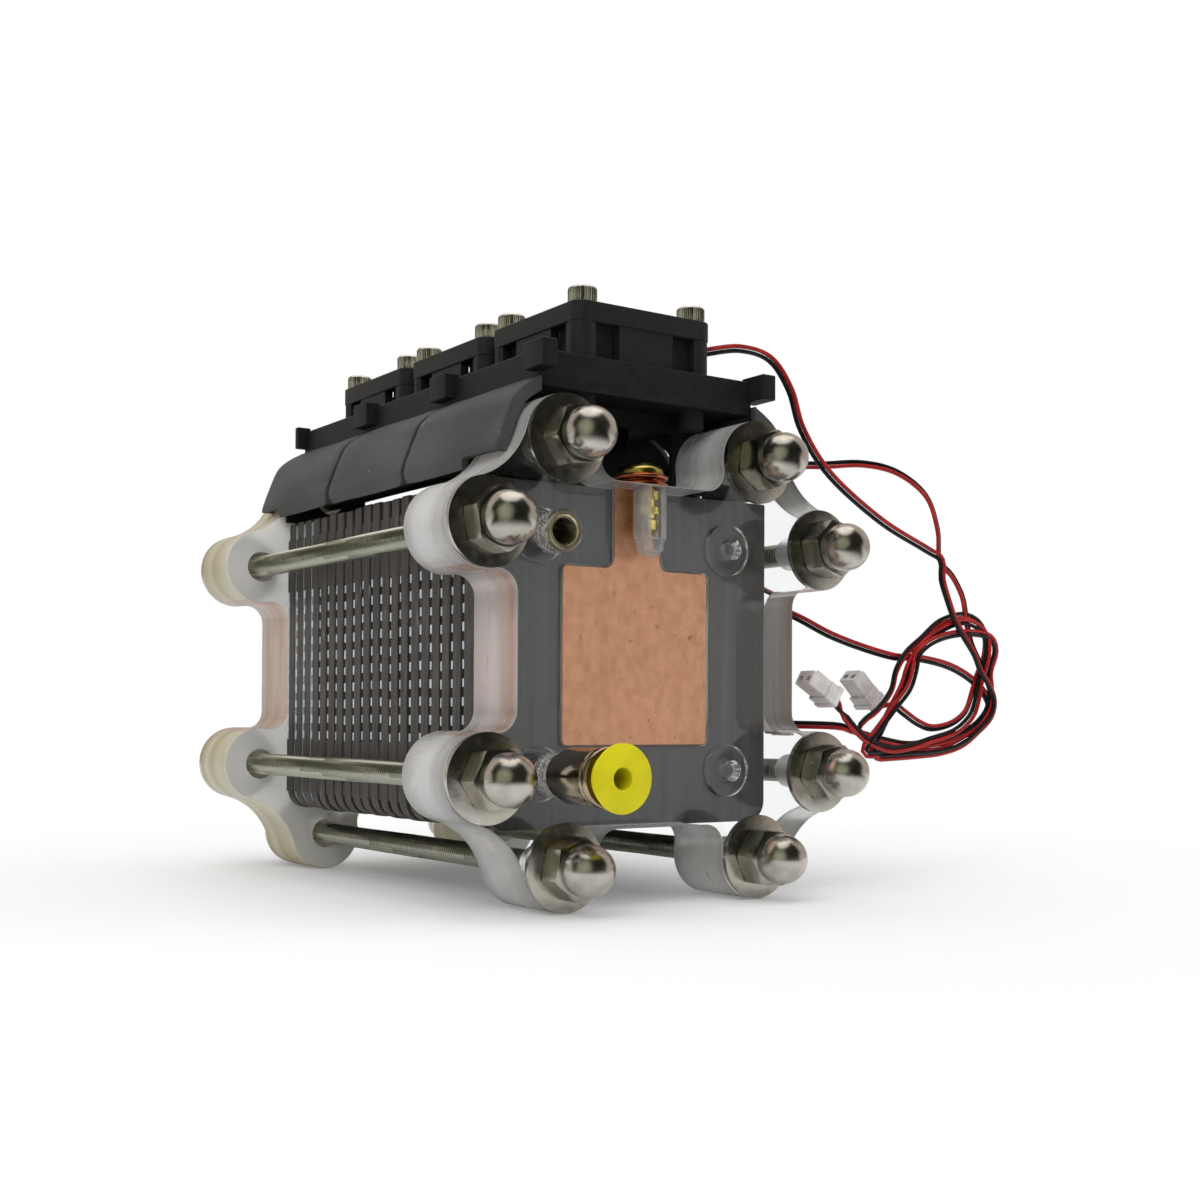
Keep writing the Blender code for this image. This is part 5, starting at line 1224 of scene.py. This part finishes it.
def wall_outline():
    """An end wall under the tray, between the flaps, with an open mouth over the cells."""
    bottom = TRAY_BOTTOM_Z - MIDDLE_Z
    side = [(x, z - MIDDLE_Z) for x, z in flap_curve(FLAP_THICK + 2 * GAP, False)]
    side = [(x, z) for x, z in side if z < bottom]
    mouth = [(MOUTH_HALF, CELL_HALF + GAP), (MOUTH_HALF, bottom - MOUTH_DROP)]
    right = [(TRAY_HALF, bottom + END_WALL / 2)] + side + [(side[-1][0], CELL_HALF + GAP)] + mouth
    return list(reversed(right + [(-x, z) for x, z in reversed(right)]))


def make_shroud():
    """The tray with its clips, floor openings, end walls and bosses."""
    front, rear = TRAY_MID_Y - TRAY_LONG / 2, TRAY_MID_Y + TRAY_LONG / 2
    floor = TRAY_BOTTOM_Z + TRAY_FLOOR
    half = FAN_SIDE / 2 + GAP
    walls = (INNER_Y + GAP + END_WALL / 2, REAR_INNER_Y - GAP - END_WALL / 2)
    pockets, openings, clips, wall_holes, shelves, bosses = (bmesh.new() for _ in range(6))
    for y in FAN_YS:
        block(pockets, (-half, y - half, floor), (half, y + half, TRAY_TOP_Z + OVER), 0.0008)
        peg(openings, 0.0180, floor - 0.003, floor + OVER, 72, at(0, y, 0))
    spans = [(front - END_CLIP_FORWARD, front - END_CLIP_FORWARD + CLIP_LONG), (rear - REAR_CLIP_LONG, rear)]
    spans += [(y - CLIP_LONG / 2, y + CLIP_LONG / 2) for y in SEAM_YS]
    high = TRAY_TOP_Z + CLIP_RISE
    for start, end in spans:
        for side in SIDES:
            near, far = sorted((side * (TRAY_HALF - 0.0011), side * (TRAY_HALF + CLIP_OUT)))
            block(clips, (near, start, high - CLIP_TALL), (far, end, high), 0.0003, 0.0002)
    end_walls = [(solid(prism, wall_outline(), y - END_WALL / 2, y + END_WALL / 2, UPRIGHT), "UNION")
                 for y in walls]
    for y in walls:
        for x, z in rod_places()[:2]:
            peg(wall_holes, ROD_HOLE_R, 0, 0.006, 32, axis_place(x, y - 0.003, MIDDLE_Z + z, (0, 1, 0)))
    near, far, wide = INNER_Y + GAP + 0.0010, REAR_INNER_Y - GAP - 0.0010, 0.0192
    for start, end in ((front + 0.0006, near), (far, rear - 0.0006)):
        block(shelves, (-wide, start, TRAY_BOTTOM_Z + 0.0003), (wide, end, floor - 0.0003))
    tip = TRAY_BOTTOM_Z - BOSS_TALL
    boss = [(0, TRAY_BOTTOM_Z + 0.0007), (BOSS_R, TRAY_BOTTOM_Z + 0.0007), (BOSS_R, tip + 0.0003),
            (BOSS_R - 0.0003, tip), (0, tip)]
    for place in screw_places():
        lathe(bosses, boss, 28, place)
    tray = solid(block, (-TRAY_HALF, front, TRAY_BOTTOM_Z), (TRAY_HALF, rear, TRAY_TOP_Z), 0.0004, 0.00025)
    steps = [(to_mesh(pockets, "pockets"), "DIFFERENCE"), (to_mesh(openings, "openings"), "DIFFERENCE"),
             (to_mesh(clips, "clips"), "UNION")] + end_walls
    steps += [(to_mesh(wall_holes, "wall_holes"), "DIFFERENCE"), (to_mesh(shelves, "shelves"), "UNION"),
              (to_mesh(bosses, "bosses"), "UNION")]
    add_piece("shroud_fine", combined("shroud_mesh", tray, steps), [SHROUD_BLACK], ["shroud"],
              angle=30)


def flap_mesh(number, side, start, end, chance):
    """A flap between two ends, with a rib at the stack's end and a jagged, round-cornered edge at a seam."""
    soft, round_r, count = 0.0003, 0.0020, 10
    wave = chance.uniform(0, 6)
    outer = flap_curve(0.0)
    low_z = outer[-1][1]
    stops = [start, start + soft] + [start + (end - start) * k / count for k in range(1, count)]
    stops += [end - soft, end]
    if number == 1:
        stops[2:2] = [start + 0.0016, start + 0.0018]
    if number == 3:
        stops[-2:-2] = [end - 0.0018, end - 0.0016]
    rows = []
    for y in stops:
        from_start, from_end = y - start, end - y
        ribbed = (number == 1 and from_start < 0.0017) or (number == 3 and from_end < 0.0017)
        inner = flap_curve(FLAP_THICK + (0.0016 if ribbed else 0.0))
        outline = [(side * x, z) for x, z in outer + list(reversed(inner))][::-side]
        outline = inset(outline, soft * 0.8) if y in (start, end) else outline
        sag = 0.00012 * (1 - math.cos(wave + (y - start) * 190))
        row = []
        for x, z in outline:
            h = z - low_z
            cut = round_r - math.sqrt(max(round_r ** 2 - (round_r - h) ** 2, 0.0)) if h < round_r else 0.0
            jag = 0.0004 + chance.uniform(-0.00012, 0.00012)
            move = 0.0
            if number > 1 and from_start < 0.001:
                move = jag + cut
            elif number < 3 and from_end < 0.001:
                move = -jag - cut
            row.append(Vector((x - side * sag * 0.6, y + move, z - sag * 0.5)))
        rows.append(row)
    return solid(skin, rows, caps=True)


def make_flaps():
    """Three flaps on each side; the outer ones are notched over the end plates."""
    chance = random.Random(5)
    first, last = TRAY_MID_Y - FLAP_OVERHANG, TRAY_MID_Y + FLAP_OVERHANG
    starts = [first] + [y + FLAP_SEAM / 2 for y in SEAM_YS]
    ends = [y - FLAP_SEAM / 2 for y in SEAM_YS] + [last]
    notches = {1: (first - 0.002, INNER_Y + GAP), 3: (REAR_INNER_Y - GAP, last + 0.002)}
    across = Matrix(((0, 0, 1, 0), (1, 0, 0, 0), (0, 1, 0, 0), (0, 0, 0, 1)))
    for side, word in zip(SIDES, ("left", "right")):
        for number, (start, end) in enumerate(zip(starts, ends), 1):
            mesh = flap_mesh(number, side, start, end, chance)
            if number in notches:
                notch = solid(prism, rectangle(*notches[number], 0.09, FLAP_NOTCH_Z, 0.0018, 6), -0.06, 0.06,
                              across)
                mesh = combined("flap", mesh, [(notch, "DIFFERENCE")])
            add_piece(f"flap_{word}_{number}_fine", mesh, [FLAP_GREY], [f"flap_{word}_{number}"],
                      angle=35)


# Camera, floor and light.

LOOK_AT = Vector((0.0, 0.0, 0.07))
TO_CAMERA, CAMERA_RIGHT = Vector((-0.5747, -0.8184, 0.0)), Vector((0.8184, -0.5747, 0.0))
UP = Vector((0, 0, 1))
WARM_GREY = (0.60, 0.545, 0.49)
WORLD_LIGHT = 0.55   # what the world gives to matt surfaces
# Distances of the panel's rows along the floor.
PANEL_REACHES = (0.13, 0.18, 0.24, 0.33, 0.42, 0.55, 0.75, 0.995)


def make_camera():
    yaw, pitch, roll = (math.radians(a) for a in (35.0791, 0.9925, 0.2679))
    ahead = Vector((math.sin(yaw) * math.cos(pitch), math.cos(yaw) * math.cos(pitch), math.sin(pitch)))
    level = Vector((math.cos(yaw), -math.sin(yaw), 0.0))
    over = level.cross(ahead)
    right = level * math.cos(roll) + over * math.sin(roll)
    up = -level * math.sin(roll) + over * math.cos(roll)
    place = Matrix((right, up, -ahead)).transposed().to_4x4()
    place.translation = (-0.218017, -0.361874, 0.043041)
    data = bpy.data.cameras.new("camera")
    data.lens = 46.815
    data.sensor_width = 36.0
    data.shift_x, data.shift_y = -0.016573, 0.077845
    data.clip_start, data.clip_end = 0.01, 20.0
    camera = new_object("camera", data)
    camera.matrix_world = place
    bpy.context.scene.camera = camera


def seen_rays(tree):
    """Two shares: rays from the camera or through glass, and reflected rays."""
    path = tree.nodes.new("ShaderNodeLightPath")
    seen = figure(tree, "MAXIMUM", path.outputs["Is Camera Ray"], path.outputs["Is Transmission Ray"])
    return seen, figure(tree, "SUBTRACT", path.outputs["Is Glossy Ray"], path.outputs["Is Transmission Ray"])


def make_world():
    """White behind the object, and a warm pale grey in its reflections."""
    world = bpy.data.worlds.new("studio")
    world.use_nodes = True
    bpy.context.scene.world = world
    tree = world.node_tree
    back = tree.nodes["Background"]
    seen, reflected = seen_rays(tree)
    link(tree, two_colours(tree, reflected, (1.0, 1.0, 1.0), WARM_GREY).outputs["Result"],
         back.inputs["Color"])
    either = figure(tree, "MAXIMUM", seen, reflected)
    link(tree, between(tree, either, 0.0, 1.0, WORLD_LIGHT, 1.0), back.inputs["Strength"])


def make_floor():
    """A white floor that keeps the object's shadow, lifted by a painted glow, and runs out into the white
    around it.
    """
    rings = [(r, 0.0) for r in (0.0, 0.15, 0.4, 1.0, 3.0)]
    mesh = solid(lathe, rings, 64, at(0.0, 0.0, -0.0002))
    floor = new_object("floor", mesh)
    made, tree = new_material("floor")
    shader = tree.nodes["Principled BSDF"]
    shader.inputs["Base Color"].default_value = (0.97, 0.97, 0.97, 1)
    shader.inputs["Roughness"].default_value = 0.9
    shader.inputs["Specular IOR Level"].default_value = 0.0
    glow = tree.nodes.new("ShaderNodeEmission")
    glow.inputs["Strength"].default_value = 1.0
    place = tree.nodes.new("ShaderNodeTexCoord")
    length = tree.nodes.new("ShaderNodeVectorMath")
    length.operation = "LENGTH"
    shift = tree.nodes.new("ShaderNodeMapping")
    shift.inputs["Location"].default_value = (-0.02, 0.0, 0.0)
    link(tree, place.outputs["Object"], shift.inputs["Vector"])
    link(tree, shift.outputs["Vector"], length.inputs[0])
    # For camera and through-glass rays the floor glows: a sixth of full white even beside the object, painted
    # light that lightens its shadow, rising to full white from 0.27 m out.
    fade = between(tree, length.outputs["Value"], 0.10, 0.27, 0.16, 1.0)
    mixed_surface(tree, figure(tree, "MULTIPLY", fade, seen_rays(tree)[0]), shader.outputs["BSDF"],
                  glow.outputs["Emission"])
    mesh.materials.append(made)


def add_lamp(name, place, size, power, reflected=False):
    """A square lamp that points at the middle of the object."""
    data = bpy.data.lights.new(name, "AREA")
    data.energy = power
    data.size = size
    lamp = new_object(name, data)
    lamp.location = place
    lamp.rotation_euler = (LOOK_AT - Vector(place)).to_track_quat("-Z", "Y").to_euler()
    lamp.visible_glossy = reflected


def toward(azimuth, elevation):
    """A direction from the object, by degrees from the camera's side."""
    a, e = math.radians(azimuth), math.radians(elevation)
    return (TO_CAMERA * math.cos(a) + CAMERA_RIGHT * math.sin(a)) * math.cos(e) + UP * math.sin(e)


def make_panel():
    """A large curved panel round the front: a dim room with a pale glow, which only reflections show."""
    azimuths = range(-86, 89, 3)
    rows = [[toward(a, 0) * reach + UP * (0.001 - LOOK_AT.z) for a in azimuths] for reach in PANEL_REACHES]
    rows += [[toward(a, elevation) for a in azimuths] for elevation in range(-3, 83, 3)]
    mesh = solid(skin, rows, wrap=False)
    panel = new_object("room_panel", mesh)
    panel.location = LOOK_AT
    made, tree = new_material("room_panel")

    def closeness(direction, low, high):
        """How nearly a point of the panel lies in a direction."""
        unit, dot = tree.nodes.new("ShaderNodeVectorMath"), tree.nodes.new("ShaderNodeVectorMath")
        unit.operation, dot.operation = "NORMALIZE", "DOT_PRODUCT"
        link(tree, object_vector(tree), unit.inputs[0])
        link(tree, unit.outputs["Vector"], dot.inputs[0])
        dot.inputs[1].default_value = direction
        step = between(tree, dot.outputs["Value"], low, high, 0.0, 1.0)
        step.node.interpolation_type = "SMOOTHSTEP"
        return step

    glow = two_colours(tree, closeness(toward(-20, 14), 0.76, 0.99), tone(36, 36, 31), tone(172, 177, 156))
    light = tree.nodes.new("ShaderNodeEmission")
    link(tree, glow.outputs["Result"], light.inputs["Color"])
    edges = figure(tree, "MAXIMUM", closeness(CAMERA_RIGHT, 0.93, 0.998),
                   closeness(-CAMERA_RIGHT, 0.90, 0.985))
    upper = figure(tree, "MAXIMUM", edges, closeness(UP, 0.86, 0.985))
    open_share = figure(tree, "MAXIMUM", upper, closeness(-UP, 0.20, 0.44))
    clear = tree.nodes.new("ShaderNodeBsdfTransparent")
    mixed_surface(tree, open_share, light.outputs["Emission"], clear.outputs["BSDF"])
    mesh.materials.append(made)
    for kind in ("camera", "diffuse", "transmission", "shadow"):
        setattr(panel, f"visible_{kind}", False)


make_camera()
make_wires()
make_plate("front", FRONT_Y, INNER_Y, CLEAR, EDGE_FRONT, EDGE_FRONT_COPPER_GLOW)
make_plate("rear", REAR_Y, REAR_INNER_Y, CLOUDED, EDGE_REAR, EDGE_REAR_COPPER_GLOW)
make_rods()
make_cells()
make_seals()
for make in (make_collector, make_terminal):
    make("front", FRONT_Y, INNER_Y)
    make("rear", REAR_Y, REAR_INNER_Y)
make_outlet()
make_inlet()
make_port_seals()
make_fans()
make_shroud()
make_fan_screws()
make_flaps()
make_world()
make_floor()
make_panel()
add_lamp("top", (-0.10, -0.12, 0.95), 1.0, 3.2, reflected=True)
add_lamp("key", (-0.55, -0.50, 0.60), 0.5, 2.0)
add_lamp("fill", (0.65, -0.35, 0.50), 0.5, 0.9)
add_lamp("back", (0.1, 0.8, 0.5), 0.6, 1.0)
bpy.context.scene.view_settings.view_transform = "Standard"
